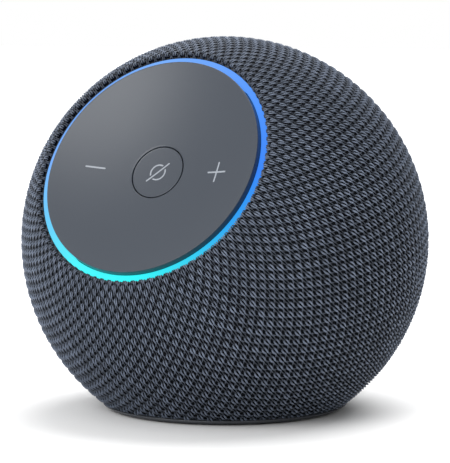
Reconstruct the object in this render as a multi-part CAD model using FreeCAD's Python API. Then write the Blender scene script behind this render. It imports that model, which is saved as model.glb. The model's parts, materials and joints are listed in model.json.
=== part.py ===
import FreeCAD
import Part
import math
import os

# Smart speaker: a knitted ball with a flat foot and a tilted, dished control face.
# Millimetres, +Z up, front towards -Y, origin at the centre of the foot on the table.

V = FreeCAD.Vector

# Body
BALL_R = 54.35
BALL_Z = 44.85
KNIT_T = 1.2
KNIT_BOTTOM = 1.5
SHELL_R = 53.1
SHELL_WALL = 2.2
SHELL_IN = SHELL_R - SHELL_WALL
SHELL_BOTTOM = 3.0
SPLIT_Y = 5.0
GASKET_T = 0.6

# Control face, measured from the ball centre along the face axis
FACE_TILT = 31.0
DISH_R = 110.0
DISH_CENTRE = 38.7
PLATE_R = 30.1
PLATE_T = 1.8
SKIRT_WALL = 1.2
SKIRT_BOTTOM = 40.2
BUTTON_R = 7.15
BUTTON_HOLE_R = 7.4
BUTTON_TUBE_R = 6.8
BUTTON_TUBE_IN = 5.6
BUTTON_TUBE_BOTTOM = 35.2
BUTTON_STEM_R = 1.5
BUTTON_STEM_BOTTOM = 36.32
PLUNGER_X = 17.5
PLUNGER_R = 1.6
PLUNGER_BOTTOM = 36.45
PIVOT_W = 37.4
PIVOT_R = 0.8
PIVOT_GAP = 0.05
PIVOT_NEAR = 21.5
PIVOT_LENGTH = 4.0
RIB_T = 1.6
LEGEND_X = 18.25
LEGEND_LENGTH = 5.7
LEGEND_WIDE = 0.45
LEGEND_DEPTH = 0.2
MUTE_ARC_R = 2.3
MUTE_ARC_IN = 1.9
MUTE_SLASH = 7.66
MUTE_WIDE = 0.4
MUTE_GAP = 1.3
MUTE_TURN = 45.0

# Light ring, sleeve lip and clamp
RING_TOP = 41.5
RING_R = 32.0
RING_IN = 30.35
RING_BOTTOM = 35.8
LIP_R = 1.25
LIP_W = 40.75
TAIL_BOTTOM = 39.5
CLAMP_BOTTOM = 39.3
CLAMP_BELOW_RING = 0.4
CLAMP_GAP = 0.05
FACE_HOLE_R = 34.15
FACE_RIM_R = 38.5
FACE_RIM_BOTTOM = 31.8

# Face module boards and carrier
BOARD_T = 1.2
BOARD_W = 33.4
BOARD_TOP = BOARD_W + BOARD_T
LED_COUNT = 24
LED_NEAR = 30.4
LED_FAR = 31.9
LED_HALF = 0.8
LED_GAP = 0.2
LED_BOARD_IN = 27.0
MIC_COUNT = 3
MIC_NEAR = 27.3
MIC_FAR = 29.9
MIC_HALF = 1.75
MIC_T = 1.0
BUTTON_BOARD_R = 20.6
SWITCH_HALF = 2.25
SWITCH_T = 0.8
SWITCH_STEM_R = 1.0
MUTE_STEM = 0.5
VOLUME_STEM = 0.7
GUIDE_R = 8.4
GUIDE_IN = 6.85
GUIDE_TOP = 36.4
GUIDE_FOOT_R = 9.8
GUIDE_FOOT_T = 0.8
CARRIER_R = 34.0
CARRIER_IN = 32.15
CARRIER_BOTTOM = 30.0
CARRIER_FLOOR_R = 33.0
CARRIER_FLOOR_IN = 10.0
CARRIER_FLOOR_T = 1.5
LED_SEAT_IN = 30.2
BUTTON_SEAT_R = 17.0
BUTTON_SEAT_IN = 15.0
SEAT_BOTTOM = 31.0
PIVOT_POST_HALF = 2.5
PIVOT_POST_NEAR = 21.2
PIVOT_POST_LENGTH = 4.6
EAR_AT = 36.3
EAR_R = 3.2
EAR_T = 1.8
EAR_START = 32.5
EAR_COUNT = 4
EAR_HOLE_R = 1.1
FACE_SCREW_HEAD_R = 2.0
FACE_SCREW_HEAD = 1.4
FACE_SCREW_R = 1.0
FACE_SCREW_TOP = 35.0
FACE_SLOT_R = 0.8
FACE_SLOT = 0.7

# Rear woofer, measured from the ball centre along its own axis
WOOFER_UP = 26.0
BAFFLE_BOTTOM = 35.0
BAFFLE_TOP = 38.0
WOOFER_HOLE_R = 27.4
FLANGE_W = 33.4
FLANGE_T = 1.2
FLANGE_R = 33.0
FLANGE_TOP = FLANGE_W + FLANGE_T
BASKET_LOW_R = 16.4
BASKET_HIGH_R = 28.4
BASKET_LOW = 21.0
BASKET_WALL = 1.0
SEAT_R = 28.0
SEAT_IN = 26.7
SEAT_T = 0.6
BASKET_FLOOR_IN = 8.0
BASKET_FLOOR = 20.8
BASKET_FLOOR_T = 1.2
WINDOW_COUNT = 4
WINDOW_NEAR = 13.0
WINDOW_HALF = 6.0
WINDOW_LOW = 23.6
WINDOW_HIGH = 31.8
SHELF_R = 19.6
SHELF_IN = 15.0
SHELF_LOW = 23.2
SHELF_T = 0.8
MAGNET_R = 16.0
MAGNET_IN = 8.8
MAGNET_LOW = 10.8
MAGNET_TOP = 17.8
TOP_PLATE_R = 15.0
TOP_PLATE_IN = 7.6
YOKE_R = 15.0
YOKE_LOW = 7.8
POLE_R = 6.0
COIL_R = 6.95
COIL_IN = 6.35
COIL_LOW = 16.6
NECK_R = 8.0
NECK_LOW = 25.2
NECK_T = 1.0
CONE_R = 22.6
CONE_WALL = 1.1
CAP_R = 13.0
CAP_T = 0.6
CAP_CENTRE_W = 17.95
CAP_REACH = 9.7
CAP_BOTTOM = 26.2
ROLL_AT = 24.9
ROLL_OUT = 2.3
ROLL_IN = 1.8
LAND_IN = 21.6
LAND_T = 0.4
SPIDER_FOLDS = ((7.1, 24.8), (9.9, 24.2), (12.7, 24.8), (16.6, 24.1))
SPIDER_T = 0.35
TAG_NEAR = 17.9
TAG_FAR = 21.2
TAG_WIDE = 5.0
TAG_AT = 4.0
TAG_T = 0.8
TAG_BLOCK_NEAR = 16.0
TAG_BLOCK_FAR = 19.8
TAG_BLOCK_HALF = 7.0
WOOFER_GASKET_R = 32.9
WOOFER_GASKET_T = 0.4
WOOFER_SCREW_AT = 30.6
WOOFER_SCREW_COUNT = 4
WOOFER_SCREW_R = 1.2
WOOFER_SCREW_HOLE_R = 1.3
WOOFER_SCREW_HEAD_R = 2.1
WOOFER_SCREW_HEAD = 1.4
WOOFER_SCREW_TOP = 37.4
WOOFER_SLOT = 0.7

# Front tweeter, measured from the ball centre along its own axis
TWEETER_UP = -38.0
TWEETER_HOLE_R = 11.0
COLLAR_R = 14.2
COLLAR_BOTTOM = 44.0
TWEETER_FLANGE = 42.4
TWEETER_FLANGE_T = 1.3
TWEETER_FLANGE_R = 13.6
TWEETER_FLANGE_IN = 10.4
TWEETER_CUP_R = 11.6
TWEETER_CUP_IN = 8.2
TWEETER_CUP_LOW = 38.6
TWEETER_MAGNET_R = 8.1
TWEETER_MAGNET_LOW = 33.0
TWEETER_MAGNET_TOP = 40.0
TWEETER_GROOVE_R = 5.6
TWEETER_GROOVE_IN = 4.6
TWEETER_GROOVE_LOW = 36.0
TWEETER_GASKET_IN = 11.2
DOME_BALL = 7.6
DOME_T = 0.4
DOME_TOP = 45.6
DOME_REACH = 5.4
DOME_LOW = 42.6
DOME_COIL_R = 5.35
DOME_COIL_IN = 4.95
DOME_COIL_LOW = 37.0
DOME_COIL_TOP = 43.6
DOME_EDGE_R = 9.9
DOME_EDGE_IN = 5.0
DOME_EDGE_LOW = 42.9
TWEETER_SCREW_AT = 12.55
TWEETER_SCREW_COUNT = 3
TWEETER_SCREW_START = 90.0
TWEETER_SCREW_R = 0.7
TWEETER_HEAD_R = 0.95
TWEETER_HEAD = 1.0
TWEETER_SCREW_TOP = 46.5

# Housing screws, driven from the rear
HOUSING_SCREWS = ((36.2, 30.4), (41.8, -22.2))
BOSS_R = 3.8
BOSS_FRONT = -6.0
BOSS_REAR = 30.0
SCREW_SEAT = 12.0
SCREW_TIP = -3.0
SCREW_R = 1.25
SCREW_HOLE_R = 1.35
SCREW_HEAD_R = 2.2
SCREW_HEAD = 1.6
SCREW_WELL_R = 2.5
SLOT_R = 0.9
SLOT_DEPTH = 0.8

# Foot
PAD_R = 29.5
PAD_T = 1.5
RIM_BOTTOM = 0.4
FOOT_PLUG_R = 28.7
FOOT_PLUG_TOP = 4.2
POST_X = 19.5
POST_Y = 16.4
POST_R = 3.2
WEB_HALF = 1.0
WEB_REACH = 45.0
WEB_LOW = 4.6
WEB_HIGH = 9.0
FOOT_WELL_R = 2.4
FOOT_HEAD_LOW = 1.6
FOOT_SLOT_TOP = 2.4
FOOT_SCREW_TOP = 6.6

# Main board and what is on it
MAIN_Z = 9.4
MAIN_TOP = MAIN_Z + BOARD_T
MAIN_R = 33.5
MAIN_HALF_X = 27.5
MAIN_FRONT = -21.5
MAIN_REAR = 33.0
BOARD_SCREW_R = 1.1
BOARD_SCREW_TIP = 7.2
BOARD_HEAD_R = 2.1
BOARD_HEAD = 1.4
BOARD_SLOT_R = 0.8
BOARD_SLOT = 0.7
SINK_R = 21.0
SINK_LOW = 4.5
SINK_TOP = 6.5
SINK_CHANNELS = 5
SINK_PITCH = 6.0
SINK_CHANNEL = 1.2
SINK_CHANNEL_TOP = 5.3
CHIP_HALF = 9.5
THERMAL_HALF = 9.0
THERMAL_TOP = 7.3
RADIO_CAN = (-25.5, -13.5, 1.0, 11.0)
RADIO_CAN_T = 1.8
RIBBON_SOCKET = (-6.0, 6.0, -11.5, -7.5)
RIBBON_SOCKET_T = 2.2
WIRE_SOCKETS = ((12.0, 19.0, 4.0, 8.0), (12.0, 19.0, -10.0, -6.0))
WIRE_SOCKET_T = 4.0
CAN_R = 3.1
CAN_HIGH = 7.0
CAN_PLACES = ((10.5, 17.5), (-8.5, 17.0), (23.0, 12.0))
CAN_GROOVE_LOW = 0.9
CAN_GROOVE_HIGH = 1.3
CAN_GROOVE_IN = 2.9
ANTENNA_X = 40.9
ANTENNA_T = 0.9
ANTENNA_FRONT = -26.0
ANTENNA_REAR = -8.0
ANTENNA_HALF_Z = 5.0
ANTENNA_SHELF = (41.8, 52.0, -20.0, -14.0)
ANTENNA_SHELF_HALF = 3.0

# Power inlet
PORT_Z = 15.0
PORT_IN = 7.6
PORT_OUT = 9.2
PORT_LIP = 1.0
PORT_PROUD = 0.4
PORT_GAP = 0.05
PORT_BACK = 35.0
PORT_FLOOR = 36.6
PORT_NOSE_HOLE_R = 3.4
JACK_HALF = 5.5
JACK_FRONT = 24.6
JACK_TOP = 20.4
JACK_NOSE_R = 3.35
JACK_BORE_R = 2.9
JACK_DEPTH = 9.5
PIN_R = 1.0
PIN_L = 8.5

# Leads
RIBBON_WIDE = 10.0
RIBBON_T = 0.4
RIBBON_AT = -4.0
RIBBON_BEND_W = 28.0
RIBBON_TURN = (-14.0, 34.0)
RIBBON_END_Y = -9.5
WOOFER_WIRE_R = 0.6
TWEETER_WIRE_R = 0.5
WIRE_PITCH = 2.0
WIRE_SOCKET_X = 14.5

CENTRE = V(0, 0, BALL_Z)
DISH_AT = V(0, 0, DISH_CENTRE + DISH_R)
UP = V(0, 0, 1)
REAR = V(0, 1, 0)
SIDES = (-1, 1)
BIG = 200.0
FAR = 80.0
OVER = 50.0
UNDER = 20.0


def cyl(r, z0, z1, x=0.0, y=0.0):
    """An upright cylinder from z0 to z1."""
    return Part.makeCylinder(r, z1 - z0, V(x, y, z0), UP)


def tube(outer, inner, z0, z1, x=0.0, y=0.0):
    """An upright tube from z0 to z1."""
    return cyl(outer, z0, z1, x, y).cut(cyl(inner, z0 - 1, z1 + 1, x, y))


def cone(r0, r1, z0, z1):
    """An upright cone frustum."""
    return Part.makeCone(r0, r1, z1 - z0, V(0, 0, z0), UP)


def cup(r0, r1, z0, z1, wall):
    """A hollow frustum whose wall is the given thickness, measured level."""
    slope = (r1 - r0) / (z1 - z0)
    inner = cone(r0 - wall - slope, r1 - wall + slope, z0 - 1, z1 + 1)
    return cone(r0, r1, z0, z1).cut(inner)


def box(x0, x1, y0, y1, z0, z1):
    """A box between two corners."""
    return Part.makeBox(x1 - x0, y1 - y0, z1 - z0, V(x0, y0, z0))


def sideways_box(side, near, far, y0, y1, z0, z1):
    """A box from near to far on one side of the YZ plane."""
    return box(min(side * near, side * far), max(side * near, side * far), y0, y1, z0, z1)


def slab(y0, y1):
    """All of space between two planes square to Y."""
    return box(-BIG, BIG, y0, y1, -BIG, BIG)


def below(z):
    """All of space below a height."""
    return box(-BIG, BIG, -BIG, BIG, -BIG, z)


def ball(r, centre=CENTRE):
    """A sphere about the ball centre, or about the point given."""
    return Part.makeSphere(r, centre)


def along_y(r, y0, y1, x, z):
    """A cylinder along +Y."""
    return Part.makeCylinder(r, y1 - y0, V(x, y0, z), REAR)


def join(shapes):
    """One solid from touching or overlapping shapes."""
    return shapes[0].multiFuse(list(shapes[1:])).removeSplitter()


def cut_all(shape, tools):
    """A shape with every tool cut from it."""
    for tool in tools:
        shape = shape.cut(tool)
    return shape


def spin(shape, degrees):
    """A copy turned about the local Z axis."""
    copy = shape.copy()
    copy.rotate(V(0, 0, 0), UP, degrees)
    return copy


def ring_of(shape, count, start=0.0):
    """Copies spread evenly about the local Z axis."""
    return [spin(shape, start + 360.0 * k / count) for k in range(count)]


def axis_placement(elevation, rear):
    """Puts local +Z on an axis through the ball centre, tipped up by the elevation."""
    turn = 90.0 - elevation
    return FreeCAD.Placement(CENTRE, FreeCAD.Rotation(V(1, 0, 0), -turn if rear else turn))


FACE = axis_placement(FACE_TILT, False)
WOOFER = axis_placement(WOOFER_UP, True)
TWEETER = axis_placement(TWEETER_UP, False)


def put(shape, where):
    """A copy moved from local coordinates to the part's frame."""
    copy = shape.copy()
    copy.Placement = where.multiply(copy.Placement)
    return copy


def group(shapes):
    """Separate solids that share a node."""
    return Part.makeCompound([s for shape in shapes for s in shape.Solids])


def line(a, b):
    """A straight edge between two (radius, height) pairs."""
    return Part.makeLine(V(a[0], 0, a[1]), V(b[0], 0, b[1]))


def arc(a, b, c):
    """An arc through three (radius, height) pairs."""
    return Part.Arc(V(a[0], 0, a[1]), V(b[0], 0, b[1]), V(c[0], 0, c[1])).toShape()


def revolve(edges):
    """A solid turned from a closed outline."""
    return Part.Face(Part.Wire(edges)).revolve(V(0, 0, 0), UP, 360)


def on_sphere(r, radius_from_axis):
    """Height of a ball-centred sphere at a distance from the axis."""
    return math.sqrt(r * r - radius_from_axis * radius_from_axis)


def dish(r, depth, thick):
    """A disc that follows the dished face, between two depths below its surface."""
    outer = ball(DISH_R + depth + thick, DISH_AT)
    inner = ball(DISH_R + depth, DISH_AT)
    return cyl(r, UNDER, OVER).common(outer).cut(inner)


def screw(head_r, head_at, head, shank_r, tip, slot_r, slot):
    """A local screw whose head starts at head_at and whose shank ends at tip."""
    seat = head_at + head
    whole = cyl(head_r, head_at, seat).fuse(cyl(shank_r, seat, tip))
    return whole.cut(cyl(slot_r, head_at - 1, head_at + slot))


# Knitted sleeve: a thin ball skin that rolls over a round lip into the face
lip_r = math.sqrt((BALL_R - LIP_R) ** 2 - LIP_W ** 2)
lip_k = BALL_R / (BALL_R - LIP_R)
lip_start = (lip_r * lip_k, LIP_W * lip_k)
lip_top = (lip_r, LIP_W + LIP_R)
lip_in = (lip_r - LIP_R, LIP_W)
tail_out = lip_in[0] + KNIT_T
knit_in = BALL_R - KNIT_T
tail_meets = (tail_out, on_sphere(knit_in, tail_out))
knit_sleeve = put(revolve([
    arc((0, -BALL_R), (BALL_R, 0), lip_start),
    arc(lip_start, lip_top, lip_in),
    line(lip_in, (lip_in[0], TAIL_BOTTOM)),
    line((lip_in[0], TAIL_BOTTOM), (tail_out, TAIL_BOTTOM)),
    line((tail_out, TAIL_BOTTOM), tail_meets),
    arc(tail_meets, (knit_in, 0), (0, -knit_in)),
    line((0, -knit_in), (0, -BALL_R)),
]), FACE)
port_hole = along_y(PORT_OUT + PORT_GAP, UNDER, FAR, 0, PORT_Z)
knit_sleeve = knit_sleeve.cut(below(KNIT_BOTTOM)).cut(port_hole)
clamp_top = RING_TOP - CLAMP_BELOW_RING
clamp_ring = put(tube(lip_in[0] - CLAMP_GAP, RING_R + CLAMP_GAP, CLAMP_BOTTOM, clamp_top), FACE)

# Housing halves
shell = ball(SHELL_R).cut(ball(SHELL_IN)).cut(below(SHELL_BOTTOM))
front = shell.cut(slab(SPLIT_Y, BIG))
rear = shell.cut(slab(-BIG, SPLIT_Y + GASKET_T))
gasket = shell.common(slab(SPLIT_Y, SPLIT_Y + GASKET_T))

FUSE_DEPTH = 0.6
keep_in = ball(SHELL_IN + FUSE_DEPTH)
rim = put(tube(FACE_RIM_R, FACE_HOLE_R, FACE_RIM_BOTTOM, OVER), FACE).common(keep_in)
collar = put(tube(COLLAR_R, TWEETER_HOLE_R, COLLAR_BOTTOM, FAR), TWEETER).common(keep_in)
baffle = put(cyl(BIG / 2, BAFFLE_BOTTOM, BAFFLE_TOP), WOOFER).common(keep_in)
baffle = baffle.cut(slab(-BIG, SPLIT_Y + GASKET_T))

screw_at = [(side * x, BALL_Z + z) for side in SIDES for x, z in HOUSING_SCREWS]
front_bosses = []
rear_bosses = []
for x, z in screw_at:
    front_bosses.append(along_y(BOSS_R, BOSS_FRONT, SPLIT_Y, x, z).common(keep_in))
    rear_bosses.append(along_y(BOSS_R, SPLIT_Y + GASKET_T, BOSS_REAR, x, z).common(keep_in))

# Posts that carry the main board and take the base screws
front_posts = []
rear_posts = []
shelves = []
for sx in SIDES:
    for sy in SIDES:
        y = sy * POST_Y
        post = cyl(POST_R, FOOT_PLUG_TOP, MAIN_Z, sx * POST_X, y)
        web = sideways_box(sx, POST_X, WEB_REACH, y - WEB_HALF, y + WEB_HALF, WEB_LOW, WEB_HIGH)
        side_posts = front_posts if sy < 0 else rear_posts
        side_posts.append(post.fuse(web.common(keep_in)))
    shelf = sideways_box(sx, *ANTENNA_SHELF, BALL_Z - ANTENNA_SHELF_HALF, BALL_Z + ANTENNA_SHELF_HALF)
    shelves.append(shelf.common(keep_in))

front = join([front, rim, collar] + front_bosses + front_posts + shelves)
rear = join([rear, baffle] + rear_bosses + rear_posts)
front = front.cut(put(cyl(FACE_HOLE_R, UNDER, FAR), FACE))
rear = rear.cut(put(cyl(WOOFER_HOLE_R, UNDER, BAFFLE_TOP + PORT_GAP), WOOFER)).cut(port_hole)


# Sound holes behind the knit
HOLE_START = 42.0
WOOFER_FIELD = (22.0, 6.2, 1.7)
TWEETER_FIELD = (8.6, 3.4, 1.1)
ROW = math.sqrt(3) / 2


def hole_field(reach, pitch, r, where):
    """A hexagonal field of drilled holes along a local axis."""
    drills = []
    rows = int(reach / (pitch * ROW)) + 1
    for j in range(-rows, rows + 1):
        for i in range(-rows - 1, rows + 2):
            x = pitch * (i + 0.5 * (j % 2))
            y = pitch * ROW * j
            if math.hypot(x, y) <= reach:
                drills.append(cyl(r, HOLE_START, FAR, x, y))
    return put(Part.makeCompound(drills), where)


rear = rear.cut(hole_field(*WOOFER_FIELD, WOOFER))
front = front.cut(hole_field(*TWEETER_FIELD, TWEETER))

housing_screws = []
for x, z in screw_at:
    head = along_y(SCREW_HEAD_R, SCREW_SEAT, SCREW_SEAT + SCREW_HEAD, x, z)
    shank = along_y(SCREW_R, SCREW_TIP, SCREW_SEAT, x, z)
    slot = along_y(SLOT_R, SCREW_SEAT + SLOT_DEPTH, SCREW_SEAT + SCREW_HEAD + 1, x, z)
    housing_screws.append(head.fuse(shank).cut(slot))
    front = front.cut(along_y(SCREW_R, SCREW_TIP, SPLIT_Y, x, z))
    rear = rear.cut(along_y(SCREW_HOLE_R, SPLIT_Y, SCREW_SEAT + 1, x, z))
    rear = rear.cut(along_y(SCREW_WELL_R, SCREW_SEAT, FAR, x, z))
    gasket = gasket.cut(along_y(SCREW_HOLE_R, SPLIT_Y - 1, SCREW_SEAT, x, z))

# Foot, with the base screws below and the board screws above the same four posts
base_plate = ball(SHELL_R).cut(below(PAD_T)).common(below(SHELL_BOTTOM))
base_plate = base_plate.fuse(cyl(FOOT_PLUG_R, PAD_T, FOOT_PLUG_TOP)).removeSplitter()
base_ring = ball(BALL_R).cut(below(RIM_BOTTOM)).common(below(PAD_T))
base_ring = base_ring.cut(cyl(PAD_R, -1, SHELL_BOTTOM))
foot_pad = cyl(PAD_R, 0, PAD_T)
base_screws = []
board_screws = []
for sx in SIDES:
    for sy in SIDES:
        at = (sx * POST_X, sy * POST_Y)
        base_plate = base_plate.cut(cyl(FOOT_WELL_R, 0, SHELL_BOTTOM, *at))
        base_plate = base_plate.cut(cyl(SCREW_HOLE_R, 0, FOOT_PLUG_TOP + 1, *at))
        lower = cyl(SCREW_HEAD_R, FOOT_HEAD_LOW, SHELL_BOTTOM, *at)
        lower = lower.fuse(cyl(SCREW_R, SHELL_BOTTOM, FOOT_SCREW_TOP, *at))
        base_screws.append(lower.cut(cyl(SLOT_R, 0, FOOT_SLOT_TOP, *at)))
        upper = cyl(BOARD_HEAD_R, MAIN_TOP, MAIN_TOP + BOARD_HEAD, *at)
        upper = upper.fuse(cyl(BOARD_SCREW_R, BOARD_SCREW_TIP, MAIN_TOP, *at))
        slot_low = MAIN_TOP + BOARD_HEAD - BOARD_SLOT
        board_screws.append(upper.cut(cyl(BOARD_SLOT_R, slot_low, MAIN_TOP + BOARD_HEAD + 1, *at)))
        bore = cyl(SCREW_R, FOOT_PLUG_TOP - 1, FOOT_SCREW_TOP, *at)
        bore = bore.fuse(cyl(BOARD_SCREW_R, BOARD_SCREW_TIP, MAIN_Z + 1, *at))
        if sy < 0:
            front = front.cut(bore)
        else:
            rear = rear.cut(bore)

# Power inlet
outside = ball(BALL_R + PORT_PROUD)
port_skin = outside.cut(ball(BALL_R + PORT_GAP))
flange = along_y(PORT_OUT + PORT_LIP, UNDER, FAR, 0, PORT_Z)
flange = flange.cut(along_y(PORT_OUT - PORT_LIP / 2, UNDER, FAR, 0, PORT_Z))
well = along_y(PORT_OUT, PORT_BACK, FAR, 0, PORT_Z).cut(along_y(PORT_IN, PORT_FLOOR, FAR, 0, PORT_Z))
port_bezel = join([well.common(outside), flange.common(port_skin)])
port_bezel = port_bezel.cut(along_y(PORT_NOSE_HOLE_R, UNDER, PORT_FLOOR + 1, 0, PORT_Z))
pin_start = PORT_FLOOR - JACK_DEPTH
jack_body = box(-JACK_HALF, JACK_HALF, JACK_FRONT, PORT_BACK, MAIN_TOP, JACK_TOP)
jack_nose = along_y(JACK_NOSE_R, PORT_BACK, PORT_FLOOR, 0, PORT_Z)
jack_bore = along_y(JACK_BORE_R, pin_start, PORT_FLOOR + 1, 0, PORT_Z)
dc_jack_shell = jack_body.fuse(jack_nose).removeSplitter().cut(jack_bore)
dc_jack_pin = along_y(PIN_R, pin_start, pin_start + PIN_L, 0, PORT_Z)
dc_jack_pin = dc_jack_pin.fuse(ball(PIN_R, V(0, pin_start + PIN_L, PORT_Z))).removeSplitter()

# Face plate with its skirt, plungers and pivots, and the button
keep_under = ball(DISH_R + LEGEND_DEPTH * 2.5, DISH_AT)
plate = dish(PLATE_R, 0, PLATE_T)
skirt = tube(PLATE_R, PLATE_R - SKIRT_WALL, SKIRT_BOTTOM, OVER).cut(ball(DISH_R, DISH_AT))
plate = plate.fuse(skirt)
for side in SIDES:
    plate = plate.fuse(cyl(PLUNGER_R, PLUNGER_BOTTOM, OVER, side * PLUNGER_X, 0).cut(keep_under))
    low = min(side * PIVOT_NEAR, side * (PIVOT_NEAR + PIVOT_LENGTH))
    rib = box(-RIB_T / 2, RIB_T / 2, low, low + PIVOT_LENGTH, PIVOT_W, OVER).cut(keep_under)
    pivot = Part.makeCylinder(PIVOT_R, PIVOT_LENGTH, V(0, low, PIVOT_W), REAR)
    plate = plate.fuse(rib).fuse(pivot)
plate = plate.removeSplitter().cut(cyl(BUTTON_HOLE_R, UNDER, OVER))

button = dish(BUTTON_R, 0, PLATE_T)
button = button.fuse(tube(BUTTON_TUBE_R, BUTTON_TUBE_IN, BUTTON_TUBE_BOTTOM, OVER).cut(keep_under))
button = button.fuse(cyl(BUTTON_STEM_R, BUTTON_STEM_BOTTOM, OVER).cut(keep_under)).removeSplitter()


def bar(length, wide, x=0.0, degrees=0.0):
    """A round-ended bar for a legend, tall enough to cut the dish."""
    half = length / 2 - wide / 2
    shape = box(-half, half, -wide / 2, wide / 2, UNDER, OVER)
    shape = join([shape, cyl(wide / 2, UNDER, OVER, half, 0), cyl(wide / 2, UNDER, OVER, -half, 0)])
    shape = spin(shape, degrees)
    shape.translate(V(x, 0, 0))
    return shape


# Legends, inlaid so that they stand a hair proud
PROUD = 0.02
inlay = dish(PLATE_R, -PROUD, LEGEND_DEPTH + PROUD)
minus_mark = bar(LEGEND_LENGTH, LEGEND_WIDE, -LEGEND_X).common(inlay)
plus_level = bar(LEGEND_LENGTH, LEGEND_WIDE, LEGEND_X)
plus_upright = bar(LEGEND_LENGTH, LEGEND_WIDE, LEGEND_X, 90.0)
plus_mark = join([plus_level, plus_upright]).common(inlay)
mute_arc = tube(MUTE_ARC_R, MUTE_ARC_IN, UNDER, OVER)
for turn in (MUTE_TURN, MUTE_TURN + 180.0):
    mute_arc = mute_arc.cut(spin(bar(2 * MUTE_GAP + MUTE_ARC_R, MUTE_GAP, MUTE_ARC_R + MUTE_GAP), turn))
mute_mark = group([mute_arc, bar(MUTE_SLASH, MUTE_WIDE, 0.0, MUTE_TURN)]).common(inlay)
plate = plate.cut(minus_mark).cut(plus_mark)
button = button.cut(mute_mark)

# Light ring and boards under the face
light_ring = tube(RING_R, RING_IN, RING_BOTTOM, RING_TOP)
led_board = tube(RING_R, LED_BOARD_IN, BOARD_W, BOARD_TOP)
led = box(LED_NEAR, LED_FAR, -LED_HALF, LED_HALF, BOARD_TOP, RING_BOTTOM - LED_GAP)
leds = ring_of(led, LED_COUNT)
microphone = box(MIC_NEAR, MIC_FAR, -MIC_HALF, MIC_HALF, BOARD_TOP, BOARD_TOP + MIC_T)
microphones = ring_of(microphone, MIC_COUNT, 90.0)
button_board = cyl(BUTTON_BOARD_R, BOARD_W, BOARD_TOP)


def tact(x, stem):
    """A square tactile switch with a round stem."""
    top = BOARD_TOP + SWITCH_T
    body = box(x - SWITCH_HALF, x + SWITCH_HALF, -SWITCH_HALF, SWITCH_HALF, BOARD_TOP, top)
    return body.fuse(cyl(SWITCH_STEM_R, top, top + stem, x, 0))


mute_switch = tact(0, MUTE_STEM)
volume_switches = [tact(side * PLUNGER_X, VOLUME_STEM) for side in SIDES]
guide = tube(GUIDE_R, GUIDE_IN, BOARD_TOP, GUIDE_TOP)
guide = guide.fuse(tube(GUIDE_FOOT_R, GUIDE_IN, BOARD_TOP, BOARD_TOP + GUIDE_FOOT_T)).removeSplitter()

# Carrier that holds the ring, boards and pivots and is screwed to the front housing
carrier_wall = tube(CARRIER_R, CARRIER_IN, CARRIER_BOTTOM, CLAMP_BOTTOM)
floor_top = CARRIER_BOTTOM + CARRIER_FLOOR_T
carrier_parts = [
    carrier_wall,
    tube(CARRIER_FLOOR_R, CARRIER_FLOOR_IN, CARRIER_BOTTOM, floor_top),
    tube(CARRIER_FLOOR_R, LED_SEAT_IN, SEAT_BOTTOM, BOARD_W),
    tube(BUTTON_SEAT_R, BUTTON_SEAT_IN, SEAT_BOTTOM, BOARD_W),
]
for side in SIDES:
    low = min(side * PIVOT_POST_NEAR, side * (PIVOT_POST_NEAR + PIVOT_POST_LENGTH))
    high = low + PIVOT_POST_LENGTH
    carrier_parts.append(box(-PIVOT_POST_HALF, PIVOT_POST_HALF, low, high, SEAT_BOTTOM, PIVOT_W))
ear_top = CARRIER_BOTTOM + EAR_T
ear = cyl(EAR_R, CARRIER_BOTTOM, ear_top, EAR_AT, 0)
ear = ear.fuse(box(EAR_START, EAR_AT, -EAR_R, EAR_R, CARRIER_BOTTOM, ear_top))
carrier = join(carrier_parts + ring_of(ear, EAR_COUNT, 45.0))
inner_reach = 2 * (PIVOT_POST_NEAR + PIVOT_POST_LENGTH + 1)
pivot_bore = Part.makeCylinder(PIVOT_R + PIVOT_GAP, inner_reach, V(0, -inner_reach / 2, PIVOT_W), REAR)
carrier = carrier.cut(pivot_bore)
ear_hole = cyl(EAR_HOLE_R, UNDER, BOARD_W, EAR_AT, 0)
carrier = cut_all(carrier, ring_of(ear_hole, EAR_COUNT, 45.0))
face_screw = screw(FACE_SCREW_HEAD_R, CARRIER_BOTTOM - FACE_SCREW_HEAD, FACE_SCREW_HEAD,
                   FACE_SCREW_R, FACE_SCREW_TOP, FACE_SLOT_R, FACE_SLOT)
face_screw.translate(V(EAR_AT, 0, 0))
face_screws = ring_of(face_screw, EAR_COUNT, 45.0)
face_bore = cyl(FACE_SCREW_R, CARRIER_BOTTOM, FACE_SCREW_TOP, EAR_AT, 0)
front = cut_all(front, [put(bore, FACE) for bore in ring_of(face_bore, EAR_COUNT, 45.0)])

# Woofer basket and motor
basket = join([
    tube(FLANGE_R, WOOFER_HOLE_R, FLANGE_W, FLANGE_TOP),
    cup(BASKET_LOW_R, BASKET_HIGH_R, BASKET_LOW, FLANGE_W + 0.2, BASKET_WALL),
    tube(SEAT_R, SEAT_IN, FLANGE_W - SEAT_T, FLANGE_W),
    tube(BASKET_LOW_R, BASKET_FLOOR_IN, BASKET_FLOOR, BASKET_FLOOR + BASKET_FLOOR_T),
])
window = box(WINDOW_NEAR, BIG, -WINDOW_HALF, WINDOW_HALF, WINDOW_LOW, WINDOW_HIGH)
basket = cut_all(basket, ring_of(window, WINDOW_COUNT))
spider_shelf = tube(SHELF_R, SHELF_IN, SHELF_LOW, SHELF_LOW + SHELF_T)
spider_shelf = spider_shelf.common(cone(BASKET_LOW_R - 0.4, SEAT_R, BASKET_LOW, FLANGE_W + 0.2))
tag_block = box(-TAG_BLOCK_FAR, -TAG_BLOCK_NEAR, -TAG_BLOCK_HALF, TAG_BLOCK_HALF,
                BASKET_FLOOR, BASKET_FLOOR + TAG_T)
basket = join([basket, spider_shelf, tag_block])
woofer_hole = cyl(WOOFER_SCREW_HOLE_R, BASKET_FLOOR, BAFFLE_TOP, WOOFER_SCREW_AT, 0)
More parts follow.
